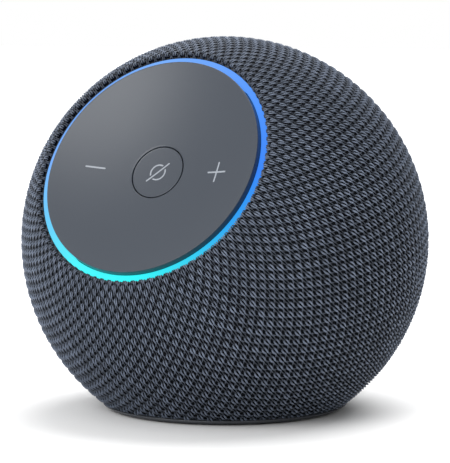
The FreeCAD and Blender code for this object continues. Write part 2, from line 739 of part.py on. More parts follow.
woofer_holes = ring_of(woofer_hole, WOOFER_SCREW_COUNT, 45.0)
basket = cut_all(basket, woofer_holes)
top_plate = tube(TOP_PLATE_R, TOP_PLATE_IN, MAGNET_TOP, BASKET_FLOOR)
magnet = tube(MAGNET_R, MAGNET_IN, MAGNET_LOW, MAGNET_TOP)
yoke = cyl(YOKE_R, YOKE_LOW, MAGNET_LOW).fuse(cyl(POLE_R, MAGNET_LOW - 1, BASKET_FLOOR)).removeSplitter()

# Woofer moving parts
neck_top = NECK_LOW + NECK_T
voice_coil = tube(COIL_R, COIL_IN, COIL_LOW, neck_top)
woofer_cone = cup(NECK_R, CONE_R, NECK_LOW, FLANGE_W, CONE_WALL)
woofer_cone = woofer_cone.fuse(tube(NECK_R, COIL_R, NECK_LOW, neck_top)).removeSplitter()
cap_centre = V(0, 0, CAP_CENTRE_W)
dust_cap = ball(CAP_R, cap_centre).cut(ball(CAP_R - CAP_T, cap_centre))
dust_cap = dust_cap.common(cyl(CAP_REACH, CAP_BOTTOM, OVER)).cut(woofer_cone)
roll_centre = V(0, 0, FLANGE_W)
roll = Part.makeTorus(ROLL_AT, ROLL_OUT, roll_centre).cut(Part.makeTorus(ROLL_AT, ROLL_IN, roll_centre))
surround = roll.common(cyl(FLANGE_R, FLANGE_W, OVER))
surround = surround.fuse(tube(ROLL_AT - ROLL_IN, LAND_IN, FLANGE_W, FLANGE_W + LAND_T)).removeSplitter()
spider_under = list(SPIDER_FOLDS)
spider_over = [(r, w + SPIDER_T) for r, w in reversed(SPIDER_FOLDS)]
spider_loop = spider_under + spider_over + spider_under[:1]
spider = revolve([line(a, b) for a, b in zip(spider_loop[:-1], spider_loop[1:])])

# Woofer tags, gasket and screws
tag_low = BASKET_FLOOR + TAG_T
terminals = []
for side in SIDES:
    middle = side * TAG_AT
    tag = box(-TAG_FAR, -TAG_NEAR, middle - TAG_WIDE / 2, middle + TAG_WIDE / 2, tag_low, tag_low + TAG_T)
    terminals.append(tag)
woofer_gasket = tube(WOOFER_GASKET_R, BASKET_HIGH_R, FLANGE_TOP, FLANGE_TOP + WOOFER_GASKET_T)
woofer_gasket = cut_all(woofer_gasket, woofer_holes)
woofer_screw = screw(WOOFER_SCREW_HEAD_R, FLANGE_W - WOOFER_SCREW_HEAD, WOOFER_SCREW_HEAD,
                     WOOFER_SCREW_R, WOOFER_SCREW_TOP, FACE_SLOT_R, WOOFER_SLOT)
woofer_screw.translate(V(WOOFER_SCREW_AT, 0, 0))
woofer_screws = ring_of(woofer_screw, WOOFER_SCREW_COUNT, 45.0)
woofer_bore = cyl(WOOFER_SCREW_R, FLANGE_TOP, WOOFER_SCREW_TOP, WOOFER_SCREW_AT, 0)
rear = cut_all(rear, [put(bore, WOOFER) for bore in ring_of(woofer_bore, WOOFER_SCREW_COUNT, 45.0)])

# Tweeter
tweeter_top = TWEETER_FLANGE + TWEETER_FLANGE_T
tweeter_frame = join([
    tube(TWEETER_FLANGE_R, TWEETER_FLANGE_IN, TWEETER_FLANGE, tweeter_top),
    tube(TWEETER_CUP_R, TWEETER_CUP_IN, TWEETER_CUP_LOW, TWEETER_FLANGE + 0.2),
])
tweeter_magnet = cyl(TWEETER_MAGNET_R, TWEETER_MAGNET_LOW, TWEETER_MAGNET_TOP)
groove_top = TWEETER_MAGNET_TOP + 1
tweeter_magnet = tweeter_magnet.cut(tube(TWEETER_GROOVE_R, TWEETER_GROOVE_IN, TWEETER_GROOVE_LOW, groove_top))
tweeter_gasket = tube(TWEETER_FLANGE_R, TWEETER_GASKET_IN, tweeter_top, COLLAR_BOTTOM)
dome_centre = V(0, 0, DOME_TOP - DOME_BALL)
dome_shell = ball(DOME_BALL, dome_centre).cut(ball(DOME_BALL - DOME_T, dome_centre))
tweeter_dome = join([
    dome_shell.common(cyl(DOME_REACH, DOME_LOW, OVER)),
    tube(DOME_COIL_R, DOME_COIL_IN, DOME_COIL_LOW, DOME_COIL_TOP),
    tube(DOME_EDGE_R, DOME_EDGE_IN, DOME_EDGE_LOW, DOME_EDGE_LOW + DOME_T),
])
small_head = cyl(TWEETER_HEAD_R, TWEETER_FLANGE - TWEETER_HEAD, TWEETER_FLANGE, TWEETER_SCREW_AT, 0)
small_shank = cyl(TWEETER_SCREW_R, TWEETER_FLANGE, TWEETER_SCREW_TOP, TWEETER_SCREW_AT, 0)
small_bore = cyl(TWEETER_SCREW_R, TWEETER_MAGNET_TOP, TWEETER_SCREW_TOP, TWEETER_SCREW_AT, 0)
small_well = cyl(TWEETER_HEAD_R, TWEETER_MAGNET_LOW, TWEETER_FLANGE, TWEETER_SCREW_AT, 0)
tweeter_screws = ring_of(small_head.fuse(small_shank), TWEETER_SCREW_COUNT, TWEETER_SCREW_START)
small_bores = ring_of(small_bore, TWEETER_SCREW_COUNT, TWEETER_SCREW_START)
small_wells = ring_of(small_well, TWEETER_SCREW_COUNT, TWEETER_SCREW_START)
tweeter_frame = cut_all(tweeter_frame, small_bores + small_wells)
tweeter_gasket = cut_all(tweeter_gasket, small_bores)
front = cut_all(front, [put(bore, TWEETER) for bore in small_bores])

# Main board and what is on it
main_board = cyl(MAIN_R, MAIN_Z, MAIN_TOP)
main_board = main_board.common(box(-MAIN_HALF_X, MAIN_HALF_X, MAIN_FRONT, MAIN_REAR, 0, UNDER))
for sx in SIDES:
    for sy in SIDES:
        main_board = main_board.cut(cyl(BOARD_SCREW_R, 0, UNDER, sx * POST_X, sy * POST_Y))
heat_sink = cyl(SINK_R, SINK_LOW, SINK_TOP)
for k in range(SINK_CHANNELS):
    middle = SINK_PITCH * (k - SINK_CHANNELS // 2)
    low = middle - SINK_CHANNEL / 2
    heat_sink = heat_sink.cut(box(-BIG, BIG, low, low + SINK_CHANNEL, 0, SINK_CHANNEL_TOP))
thermal_pad = box(-THERMAL_HALF, THERMAL_HALF, -THERMAL_HALF, THERMAL_HALF, SINK_TOP, THERMAL_TOP)
shield_cans = group([
    box(-CHIP_HALF, CHIP_HALF, -CHIP_HALF, CHIP_HALF, THERMAL_TOP, MAIN_Z),
    box(*RADIO_CAN, MAIN_TOP, MAIN_TOP + RADIO_CAN_T),
])
sockets = [box(*RIBBON_SOCKET, MAIN_TOP, MAIN_TOP + RIBBON_SOCKET_T)]
for place in WIRE_SOCKETS:
    sockets.append(box(*place, MAIN_TOP, MAIN_TOP + WIRE_SOCKET_T))
capacitors = []
for at in CAN_PLACES:
    groove = tube(CAN_R + 1, CAN_GROOVE_IN, MAIN_TOP + CAN_GROOVE_LOW, MAIN_TOP + CAN_GROOVE_HIGH, *at)
    capacitors.append(cyl(CAN_R, MAIN_TOP, MAIN_TOP + CAN_HIGH, *at).cut(groove))
antennas = []
for side in SIDES:
    antennas.append(sideways_box(side, ANTENNA_X, ANTENNA_X + ANTENNA_T, ANTENNA_FRONT, ANTENNA_REAR,
                                 BALL_Z - ANTENNA_HALF_Z, BALL_Z + ANTENNA_HALF_Z))


def strip(points, wide, thick):
    """A flat cable whose centre line is a chain of points in the YZ plane."""
    pieces = []
    for a, b in zip(points[:-1], points[1:]):
        run = V(0, b[0] - a[0], b[1] - a[1])
        side = V(0, -run.z, run.y).normalize() * (thick / 2)
        a3 = V(-wide / 2, a[0], a[1])
        b3 = V(-wide / 2, b[0], b[1])
        corners = [a3 + side, b3 + side, b3 - side, a3 - side, a3 + side]
        pieces.append(Part.Face(Part.makePolygon(corners)).extrude(V(wide, 0, 0)))
        pieces.append(Part.makeCylinder(thick / 2, wide, b3, V(1, 0, 0)))
    return join(pieces[:-1])


def wire(points, r):
    """A round wire through a chain of points."""
    pieces = []
    for a, b in zip(points[:-1], points[1:]):
        pieces.append(Part.makeCylinder(r, (b - a).Length, a, b - a))
        pieces.append(ball(r, b))
    return join(pieces[:-1])


def world(where, x, y, z):
    """A local point in the part's frame."""
    return where.multVec(V(x, y, z))


# Leads
tail = world(FACE, 0, RIBBON_AT, BOARD_W - RIBBON_T * 0.625)
bend = world(FACE, 0, RIBBON_AT, RIBBON_BEND_W)
ribbon_end = (RIBBON_END_Y, MAIN_TOP + RIBBON_SOCKET_T + RIBBON_T * 0.75)
ribbon = strip([(tail.y, tail.z), (bend.y, bend.z), RIBBON_TURN, ribbon_end], RIBBON_WIDE, RIBBON_T)
socket_top = MAIN_TOP + WIRE_SOCKET_T
woofer_wires = []
tweeter_wires = []
for k in (0, 1):
    start = world(WOOFER, -TAG_FAR - WOOFER_WIRE_R, TAG_AT - 2 * TAG_AT * k, tag_low + TAG_T / 2)
    end_x = WIRE_SOCKET_X + WIRE_PITCH * k
    woofer_wires.append(wire([
        start,
        V(-24.0, start.y - 4, start.z - 6),
        V(-20.0 + 3 * k, 6.0, 26.0),
        V(end_x, 6.0, 20.0),
        V(end_x, 6.0, socket_top),
    ], WOOFER_WIRE_R))
    mouth = world(TWEETER, WIRE_PITCH - 2 * WIRE_PITCH * k, 3.0, 32.4)
    tweeter_wires.append(wire([
        mouth,
        V(8.0 + WIRE_PITCH * k, -15.0, 22.0),
        V(end_x, -8.0, 19.0),
        V(end_x, -8.0, socket_top),
    ], TWEETER_WIRE_R))

nodes = {
    "knit_sleeve": knit_sleeve,
    "sleeve_clamp_ring": clamp_ring,
    "front_housing": front,
    "rear_housing": rear,
    "housing_gasket": gasket,
    "housing_screws": group(housing_screws),
    "base_plate": base_plate,
    "base_ring": base_ring,
    "foot_pad": foot_pad,
    "base_screws": group(base_screws),
    "port_bezel": port_bezel,
    "dc_jack_shell": dc_jack_shell,
    "dc_jack_pin": dc_jack_pin,
    "face_plate": put(plate, FACE),
    "legend_minus": put(minus_mark, FACE),
    "legend_plus": put(plus_mark, FACE),
    "mute_button": put(button, FACE),
    "legend_mute": put(mute_mark, FACE),
    "light_ring": put(light_ring, FACE),
    "led_board": put(led_board, FACE),
    "leds": put(group(leds), FACE),
    "microphones": put(group(microphones), FACE),
    "button_board": put(button_board, FACE),
    "mute_switch": put(mute_switch, FACE),
    "volume_switches": put(group(volume_switches), FACE),
    "button_guide": put(guide, FACE),
    "face_carrier": put(carrier, FACE),
    "face_screws": put(group(face_screws), FACE),
    "ribbon_cable": ribbon,
    "woofer_basket": put(basket, WOOFER),
    "woofer_top_plate": put(top_plate, WOOFER),
    "woofer_magnet": put(magnet, WOOFER),
    "woofer_yoke": put(yoke, WOOFER),
    "voice_coil": put(voice_coil, WOOFER),
    "woofer_cone": put(woofer_cone, WOOFER),
    "dust_cap": put(dust_cap, WOOFER),
    "woofer_surround": put(surround, WOOFER),
    "woofer_spider": put(spider, WOOFER),
    "woofer_terminals": put(group(terminals), WOOFER),
    "woofer_gasket": put(woofer_gasket, WOOFER),
    "woofer_screws": put(group(woofer_screws), WOOFER),
    "woofer_wires": group(woofer_wires),
    "tweeter_frame": put(tweeter_frame, TWEETER),
    "tweeter_magnet": put(tweeter_magnet, TWEETER),
    "tweeter_dome": put(tweeter_dome, TWEETER),
    "tweeter_gasket": put(tweeter_gasket, TWEETER),
    "tweeter_screws": put(group(tweeter_screws), TWEETER),
    "tweeter_wires": group(tweeter_wires),
    "main_board": main_board,
    "shield_cans": shield_cans,
    "board_connectors": group(sockets),
    "capacitors": group(capacitors),
    "heat_sink": heat_sink,
    "thermal_pad": thermal_pad,
    "board_screws": group(board_screws),
    "antenna_boards": group(antennas),
}

os.makedirs("parts", exist_ok=True)
for name, shape in nodes.items():
    shape.exportStep("parts/" + name + ".step")
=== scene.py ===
"""Looks for a ball-shaped voice speaker: knitted sleeve, dished face, light ring and drivers.

Lengths are metres in the part's own frame: +Z up, the listener towards -Y, the origin under
the foot.
"""
import json
import logging
import math
from contextlib import contextmanager
from dataclasses import dataclass, field
from enum import Enum
from typing import Dict, Iterator, List, Optional, Sequence, Tuple, Union

import bmesh
import bpy
import numpy as np
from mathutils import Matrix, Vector


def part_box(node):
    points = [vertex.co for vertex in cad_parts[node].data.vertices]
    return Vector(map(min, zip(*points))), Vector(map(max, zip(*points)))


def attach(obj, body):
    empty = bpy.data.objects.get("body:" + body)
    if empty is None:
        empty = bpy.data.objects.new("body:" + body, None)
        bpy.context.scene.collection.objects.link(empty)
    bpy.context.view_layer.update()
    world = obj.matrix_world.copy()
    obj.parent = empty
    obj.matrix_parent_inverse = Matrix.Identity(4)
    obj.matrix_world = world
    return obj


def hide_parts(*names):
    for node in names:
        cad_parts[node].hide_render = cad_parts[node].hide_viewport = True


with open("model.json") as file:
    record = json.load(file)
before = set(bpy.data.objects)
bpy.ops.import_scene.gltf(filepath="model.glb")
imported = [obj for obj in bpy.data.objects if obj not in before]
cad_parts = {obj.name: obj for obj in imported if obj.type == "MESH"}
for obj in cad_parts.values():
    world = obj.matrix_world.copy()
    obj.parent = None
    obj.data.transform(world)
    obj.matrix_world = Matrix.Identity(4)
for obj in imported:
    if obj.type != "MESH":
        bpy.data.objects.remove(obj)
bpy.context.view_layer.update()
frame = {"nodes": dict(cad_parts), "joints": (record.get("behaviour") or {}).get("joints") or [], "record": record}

Array = np.ndarray
FourArrays = Tuple[Array, Array, Array, Array]
Colour = Tuple[float, float, float]
Socket = bpy.types.NodeSocket
Value = Union[Socket, float]
Fed = Union[Socket, float, Sequence[float]]
MM = 0.001
BACK = 20.0 * MM  # how far back a point is when it can be near the inlet
LOG = logging.getLogger("speaker")


# ---- frame

def body_joint(name: str) -> dict:
    """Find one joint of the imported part.

    Args:
        name: the joint's name.

    Returns:
        The joint's entry in the record.
    """
    return next(j for j in frame["joints"] if j["name"] == name)


@dataclass(frozen=True)
class Axis:
    """A straight axis through a point, with two directions square to it."""

    origin: Array
    along: Array
    across: Array
    rise: Array

    @classmethod
    def through(cls, origin: Array, along: Sequence[float]) -> "Axis":
        """Build the axis so that across is level and rise points up the slope.

        Args:
            origin: the point it goes through.
            along: its direction.

        Returns:
            The axis.
        """
        w = np.asarray(along, float)
        w = w / np.linalg.norm(w)
        u = np.array([1.0, 0.0, 0.0])
        return cls(np.asarray(origin, float), w, u, np.cross(w, u))

    @property
    def basis(self) -> Array:
        """The directions across, rise and along as rows."""
        return np.stack([self.across, self.rise, self.along])

    def place(self, local: Array) -> Array:
        """Local (across, rise, along) rows as points of the part's frame."""
        return self.origin + local @ self.basis


@dataclass(frozen=True)
class Body:
    """Driving sizes of the ball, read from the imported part."""

    radius: float
    centre: Array
    face: Axis
    woofer: Axis
    port: Array

    @classmethod
    def from_frame(cls) -> "Body":
        """Read the ball's size, the joint axes and the inlet's place.

        Returns:
            The body's sizes.
        """
        low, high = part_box("knit_sleeve")
        radius = (high.x - low.x) / 2
        centre = np.array([0.0, 0.0, high.z - radius])
        facing = -np.array(body_joint("mute_press")["axis"])
        firing = np.array(body_joint("woofer_excursion")["axis"])
        pin_low, pin_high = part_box("dc_jack_pin")
        port = np.array([0.0, pin_high.y, (pin_low.z + pin_high.z) / 2])
        return cls(radius, centre, Axis.through(centre, facing), Axis.through(centre, firing), port)


# ---- mesh helpers

def grid_quads(rows: int, columns: int, wrap: bool) -> Array:
    """Corner numbers of the quads of a grid stored row by row.

    Args:
        rows: number of rows of points.
        columns: points in a row.
        wrap: whether the last column joins the first.

    Returns:
        An (n, 4) array of point numbers.
    """
    steps = columns if wrap else columns - 1
    i, j = np.meshgrid(np.arange(rows - 1), np.arange(steps), indexing="ij")
    k = (j + 1) % columns
    return np.stack([i * columns + j, i * columns + k, (i + 1) * columns + k,
                     (i + 1) * columns + j], axis=-1).reshape(-1, 4)


def mesh_object(name: str, points: Array, quads: Array, uv: Optional[Array] = None,
                shade: Optional[Array] = None) -> bpy.types.Object:
    """Put arrays into a new smooth mesh object at the origin.

    Args:
        name: the piece's name.
        points: (n, 3) places.
        quads: (m, 4) corner numbers.
        uv: (m, 4, 2) corner coordinates, if the material follows the surface.
        shade: (n,) value kept as the attribute "shade".

    Returns:
        The object, linked to the scene.
    """
    mesh = bpy.data.meshes.new(name)
    mesh.vertices.add(len(points))
    mesh.vertices.foreach_set("co", points.astype(np.float32).ravel())
    mesh.loops.add(quads.size)
    mesh.loops.foreach_set("vertex_index", quads.astype(np.int32).ravel())
    mesh.polygons.add(len(quads))
    mesh.polygons.foreach_set("loop_start", np.arange(0, quads.size, 4, dtype=np.int32))
    mesh.polygons.foreach_set("use_smooth", np.ones(len(quads), bool))
    if uv is not None:
        layer = mesh.uv_layers.new(name="yarn")
        layer.data.foreach_set("uv", uv.astype(np.float32).ravel())
    if shade is not None:
        values = mesh.attributes.new("shade", "FLOAT", "POINT").data
        values.foreach_set("value", shade.astype(np.float32))
    mesh.update(calc_edges=True)
    mesh.validate()
    made = bpy.data.objects.new(name, mesh)
    bpy.context.scene.collection.objects.link(made)
    return made


@contextmanager
def reworked(piece: bpy.types.Object) -> Iterator[bmesh.types.BMesh]:
    """Open a piece's mesh for changes, then turn every face outwards and keep it."""
    work = bmesh.new()
    work.from_mesh(piece.data)
    yield work
    bmesh.ops.recalc_face_normals(work, faces=work.faces)
    work.to_mesh(piece.data)
    work.free()


def close_up(piece: bpy.types.Object) -> None:
    """Merge doubled points, drop collapsed faces and turn every face outwards."""
    with reworked(piece) as work:
        bmesh.ops.remove_doubles(work, verts=work.verts, dist=1e-7)
        bmesh.ops.dissolve_degenerate(work, edges=work.edges, dist=1e-8)


def lathe(name: str, axis: Axis, outline: Array, turns: int = 256) -> bpy.types.Object:
    """Turn a closed outline about an axis: across = r cos(a), rise = r sin(a), along = h.

    Args:
        name: the piece's name.
        axis: the axis it is turned about.
        outline: (n, 2) radius and height pairs, first and last joined.
        turns: steps in a full turn.

    Returns:
        The closed piece.
    """
    loop = np.vstack([outline, outline[:1]])
    angle = np.linspace(0, 2 * math.pi, turns, endpoint=False)
    local = np.stack([loop[:, :1] * np.cos(angle), loop[:, :1] * np.sin(angle),
                      np.repeat(loop[:, 1:], turns, axis=1)], axis=-1)
    piece = mesh_object(name, axis.place(local.reshape(-1, 3)), grid_quads(len(loop), turns, True))
    close_up(piece)
    return piece


def corner(centre: Tuple[float, float], radius: float, start: float, stop: float,
           steps: int = 6) -> Array:
    """Points of an arc: centre + radius (cos a, sin a), a from start to stop in degrees."""
    a = np.radians(np.linspace(start, stop, steps))
    return np.stack([centre[0] + radius * np.cos(a), centre[1] + radius * np.sin(a)], axis=-1)


def strands(line: Array, lift: Array, wide: Array, shade: Array) -> FourArrays:
    """Four-sided yarns along many centre lines at once.

    Each ring is p + wide (s cos a + n sin a) at four angles, where s is tangent x lift made unit
    length and n = s x tangent. Both ends are closed with a quad.

    Args:
        line: (k, n, 3) centre lines.
        lift: (k, n, 3) outward directions.
        wide: (k, n) radii.
        shade: (k, n) value at each ring.

    Returns:
        Points, quads, corner coordinates (distance along, turn) and the value at each point.
    """
    many, count = line.shape[:2]
    tangent = np.gradient(line, axis=1)
    tangent /= np.linalg.norm(tangent, axis=2, keepdims=True)
    side = np.cross(tangent, lift)
    side /= np.linalg.norm(side, axis=2, keepdims=True)
    up = np.cross(side, tangent)
    a = np.radians([0.0, 90.0, 180.0, 270.0])
    spin = (side[:, :, None] * np.cos(a)[:, None] + up[:, :, None] * np.sin(a)[:, None])
    points = line[:, :, None] + wide[:, :, None, None] * spin
    quads = grid_quads(count, 4, True)[:, ::-1]
    step = np.linalg.norm(np.diff(line, axis=1), axis=2)
    run = np.concatenate([np.zeros((many, 1)), np.cumsum(step, axis=1)], axis=1) / MM
    i, j = np.meshgrid(np.arange(count - 1), np.arange(4), indexing="ij")
    i, j = i.ravel(), j.ravel()
    around = np.stack([j, j + 1, j + 1, j], axis=-1)[:, ::-1] / 4
    ahead = run[:, np.stack([i, i, i + 1, i + 1], axis=-1)[:, ::-1]]
    uv = np.stack([ahead, np.broadcast_to(around, ahead.shape)], axis=-1)
    caps = np.array([[0, 1, 2, 3], [4 * count - 1, 4 * count - 2, 4 * count - 3, 4 * count - 4]])
    cap_uv = np.zeros((many, 2, 4, 2))
    quads = np.vstack([quads, caps])
    uv = np.concatenate([uv, cap_uv], axis=1).reshape(-1, 4, 2)
    offset = (np.arange(many) * count * 4)[:, None, None]
    return (points.reshape(-1, 3), (quads[None] + offset).reshape(-1, 4), uv,
            np.repeat(shade.ravel(), 4))


# ---- node helpers

class Graph:
    """A short way to add nodes to one node tree."""

    def __init__(self, tree: bpy.types.NodeTree) -> None:
        """Keep the tree that nodes are added to."""
        self.tree = tree

    def set(self, socket: Socket, value: Fed) -> None:
        """Link a socket, or set its own value."""
        if isinstance(value, bpy.types.NodeSocket):
            self.tree.links.new(value, socket)
        else:
            socket.default_value = value

    def add(self, kind: str, options: Optional[Dict[str, object]] = None,
            **inputs: Fed) -> bpy.types.Node:
        """Add a node.

        Args:
            kind: the node's type, without ShaderNode.
            options: properties to set on the node.
            inputs: sockets by name, with _ for a space, or i0, i1 by number.

        Returns:
            The node.
        """
        node = self.tree.nodes.new("ShaderNode" + kind)
        for key, value in (options or {}).items():
            setattr(node, key, value)
        for key, value in inputs.items():
            number = key[1:] if key[0] == "i" and key[1:].isdigit() else None
            socket = node.inputs[int(number)] if number else node.inputs[key.replace("_", " ")]
            self.set(socket, value)
        return node

    def math(self, operation: str, a: Value, b: Value = 0.0) -> Socket:
        """One arithmetic step."""
        return self.add("Math", {"operation": operation}, i0=a, i1=b).outputs[0]

    def noise(self, scale: Value, detail: float, at: Socket) -> Socket:
        """A cloud value from 0 to 1."""
        return self.add("TexNoise", None, Vector=at, Scale=scale, Detail=detail).outputs[0]

    def centred(self, value: Socket, swing: Value) -> Socket:
        """A value from 0 to 1 moved to lie round 0: (value - 0.5) swing."""
        return self.math("MULTIPLY", self.math("SUBTRACT", value, 0.5), swing)

    def bump(self, strength: float, distance: float, height: Socket) -> Socket:
        """The normal of a bump."""
        node = self.add("Bump", None, Strength=strength, Distance=distance, Height=height)
        return node.outputs[0]

    def dot(self, at: Socket, direction: Sequence[float]) -> Socket:
        """The dot product with a fixed direction."""
        node = self.add("VectorMath", {"operation": "DOT_PRODUCT"}, i0=at, i1=tuple(direction))
        return node.outputs["Value"]

    def scaled(self, vector: Socket, by: Socket) -> Socket:
        """A vector or colour times a value."""
        return self.add("VectorMath", {"operation": "SCALE"}, i0=vector, Scale=by).outputs[0]

    def mix(self, factor: Socket, first: Fed, second: Sequence[float]) -> Socket:
        """One colour over another by a factor."""
        return self.add("Mix", {"data_type": "RGBA"}, Factor=factor, i6=first, i7=second).outputs[2]

    def ramp(self, factor: Socket, stops: Sequence[Tuple[float, Colour]]) -> Socket:
        """Colours along a factor.

        Args:
            factor: a value from 0 to 1.
            stops: places and colours, in order.

        Returns:
            The colour socket.
        """
        node = self.add("ValToRGB", None, Fac=factor)
        while len(node.color_ramp.elements) < len(stops):
            node.color_ramp.elements.new(0.5)
        for element, (place, colour) in zip(node.color_ramp.elements, stops):
            element.position = place
            element.color = (*colour, 1.0)
        return node.outputs[0]


SOCKETS = {"Vector": "NodeSocketVector", "Colour": "NodeSocketColor"}  # the rest are values
DUST_COLOUR = (0.55, 0.54, 0.52)


def shader_group(name: str, inputs: Dict[str, float],
                 outputs: Sequence[str]) -> Tuple[Graph, dict, dict]:
    """Start a shader node group.

    Args:
        name: the group's name.
        inputs: value inputs with their defaults, after the Vector and Colour that all groups have.
        outputs: output names.

    Returns:
        The graph, its input sockets by name and its output sockets by name.
    """
    tree = bpy.data.node_groups.new(name, "ShaderNodeTree")
    for way, keys in (("INPUT", ("Vector", "Colour", *inputs)), ("OUTPUT", outputs)):
        for key in keys:
            kind = SOCKETS.get(key, "NodeSocketFloat")
            socket = tree.interface.new_socket(key, in_out=way, socket_type=kind)
            if way == "INPUT" and key in inputs:
                socket.default_value = inputs[key]
    graph = Graph(tree)
    begin = tree.nodes.new("NodeGroupInput")
    end = tree.nodes.new("NodeGroupOutput")
    return graph, {s.name: s for s in begin.outputs}, {s.name: s for s in end.inputs}


def build_grain() -> bpy.types.NodeTree:
    """Moulded grain: fine pits over a slow drift in colour, gloss and height.

    Returns:
        The node group.
    """
    graph, given, out = shader_group(
        "moulded_grain",
        {"Pits": 3000.0, "Drift": 30.0, "Amount": 0.1, "Gloss": 0.5, "Spread": 0.08},
        ("Colour", "Roughness", "Height"))
    fine = graph.noise(given["Pits"], 2.0, given["Vector"])
    slow = graph.noise(given["Drift"], 3.0, given["Vector"])
    both = graph.math("ADD", graph.math("MULTIPLY", fine, 0.4), graph.math("MULTIPLY", slow, 0.6))
    swing = graph.centred(both, given["Amount"])
    graph.set(out["Colour"], graph.scaled(given["Colour"], graph.math("ADD", swing, 1.0)))
    drift = graph.centred(slow, given["Spread"])
    graph.set(out["Roughness"], graph.math("ADD", given["Gloss"], drift))
    graph.set(out["Height"], fine)
    return graph.tree


def build_dust() -> bpy.types.NodeTree:
    """Light dust that settles on surfaces facing up, as a pale tint and a rougher patch.

    Returns:
        The node group.
    """
    graph, given, out = shader_group("settled_dust", {"Amount": 0.04, "Gloss": 0.5},
                                     ("Colour", "Roughness"))
    normal = graph.add("NewGeometry").outputs["Normal"]
    facing = graph.add("SeparateXYZ", None, Vector=normal).outputs[2]
    specks = graph.noise(900.0, 4.0, given["Vector"])
    upper = graph.math("MAXIMUM", facing, 0.0)
    mask = graph.math("MULTIPLY", graph.math("MULTIPLY", upper, specks), given["Amount"])
    graph.set(out["Colour"], graph.mix(mask, given["Colour"], (*DUST_COLOUR, 1.0)))
    graph.set(out["Roughness"], graph.math("ADD", given["Gloss"], mask))
    return graph.tree


GRAIN = build_grain()
DUST = build_dust()


# ---- finishes

class Metal(Enum):
    """Bare metals used inside, as base colours."""

    STEEL = (0.56, 0.56, 0.57)
    TIN = (0.72, 0.72, 0.70)
    ALUMINIUM = (0.66, 0.67, 0.69)
    NICKEL = (0.74, 0.72, 0.68)
    COPPER = (0.72, 0.33, 0.16)
    TINNED_BRASS = (0.70, 0.62, 0.40)


@dataclass(frozen=True)
class Finish:
    """A named procedural surface."""

    name: str
    colour: Colour

    def start(self) -> Tuple[bpy.types.Material, Graph, bpy.types.Node, Socket]:
        """Make the material with one Principled shader.

        Returns:
            The material, its graph, the shader and the object coordinates.
        """
        made = bpy.data.materials.new(self.name)
        made.use_nodes = True
        made.diffuse_color = (*self.colour, 1.0)
        graph = Graph(made.node_tree)
        shader = made.node_tree.nodes["Principled BSDF"]
        at = graph.add("TexCoord").outputs["Object"]
        return made, graph, shader, at

    def group(self, graph: Graph, tree: bpy.types.NodeTree, at: Socket, colour: Fed,
              **values: Value) -> bpy.types.Node:
        """Place a shared group with its own values.

        Args:
            graph: the material's graph.
            tree: the group.
            at: coordinates.
            colour: colour or socket fed to the group.
            values: the group's other inputs.

        Returns:
            The group node.
        """
        node = graph.tree.nodes.new("ShaderNodeGroup")
        node.node_tree = tree
        graph.set(node.inputs["Vector"], at)
        tint = colour if isinstance(colour, bpy.types.NodeSocket) else (*colour, 1.0)
        graph.set(node.inputs["Colour"], tint)
        for key, value in values.items():
            graph.set(node.inputs[key], value)
        return node

    @staticmethod
    def feed(graph: Graph, shader: bpy.types.Node, colour: Socket, roughness: Socket,
             normal: Socket) -> None:
        """Link the shader's colour, roughness and normal."""
        for name, value in (("Base Color", colour), ("Roughness", roughness), ("Normal", normal)):
            graph.set(shader.inputs[name], value)

    def material(self) -> bpy.types.Material:
        """Build the material."""
        raise NotImplementedError


@dataclass(frozen=True)
class Moulded(Finish):
    """Moulded plastic or rubber with pits, slow drift and a little dust."""

    gloss: float = 0.5
    pits: float = 4000.0
    depth: float = 0.00002
    amount: float = 0.12
    dust: float = 0.03
    specular: float = 0.5

    def material(self) -> bpy.types.Material:
        """Build the material: grain feeds dust, and both feed the shader."""
        made, graph, shader, at = self.start()
        grain = self.group(graph, GRAIN, at, self.colour, Pits=self.pits, Amount=self.amount,
                           Gloss=self.gloss)
        dust = self.group(graph, DUST, at, grain.outputs["Colour"], Amount=self.dust,
                          Gloss=grain.outputs["Roughness"])
        normal = graph.bump(0.35, self.depth, grain.outputs["Height"])
        self.feed(graph, shader, dust.outputs["Colour"], dust.outputs["Roughness"], normal)
        shader.inputs["Specular IOR Level"].default_value = self.specular
        return made


@dataclass(frozen=True)
class BareMetal(Finish):
    """Metal with fine drawn lines along one direction."""

    gloss: float = 0.3
    stretch: Tuple[float, float, float] = (1.0, 1.0, 40.0)

    @classmethod
    def of(cls, name: str, metal: Metal, gloss: float = 0.3) -> "BareMetal":
        """Name a finish after its metal."""
        return cls(name, metal.value, gloss)

    def material(self) -> bpy.types.Material:
        """Build the material: stretched noise in gloss and height."""
        made, graph, shader, at = self.start()
        lines = graph.add("Mapping", None, Vector=at, Scale=self.stretch).outputs[0]
        drawn = graph.noise(900.0, 3.0, lines)
        grain = self.group(graph, GRAIN, at, self.colour, Pits=1800.0, Amount=0.1, Gloss=self.gloss)
        gloss = graph.math("ADD", grain.outputs["Roughness"], graph.centred(drawn, 0.2))
        self.feed(graph, shader, grain.outputs["Colour"], gloss, graph.bump(0.15, 0.00002, drawn))
        shader.inputs["Metallic"].default_value = 1.0
        return made


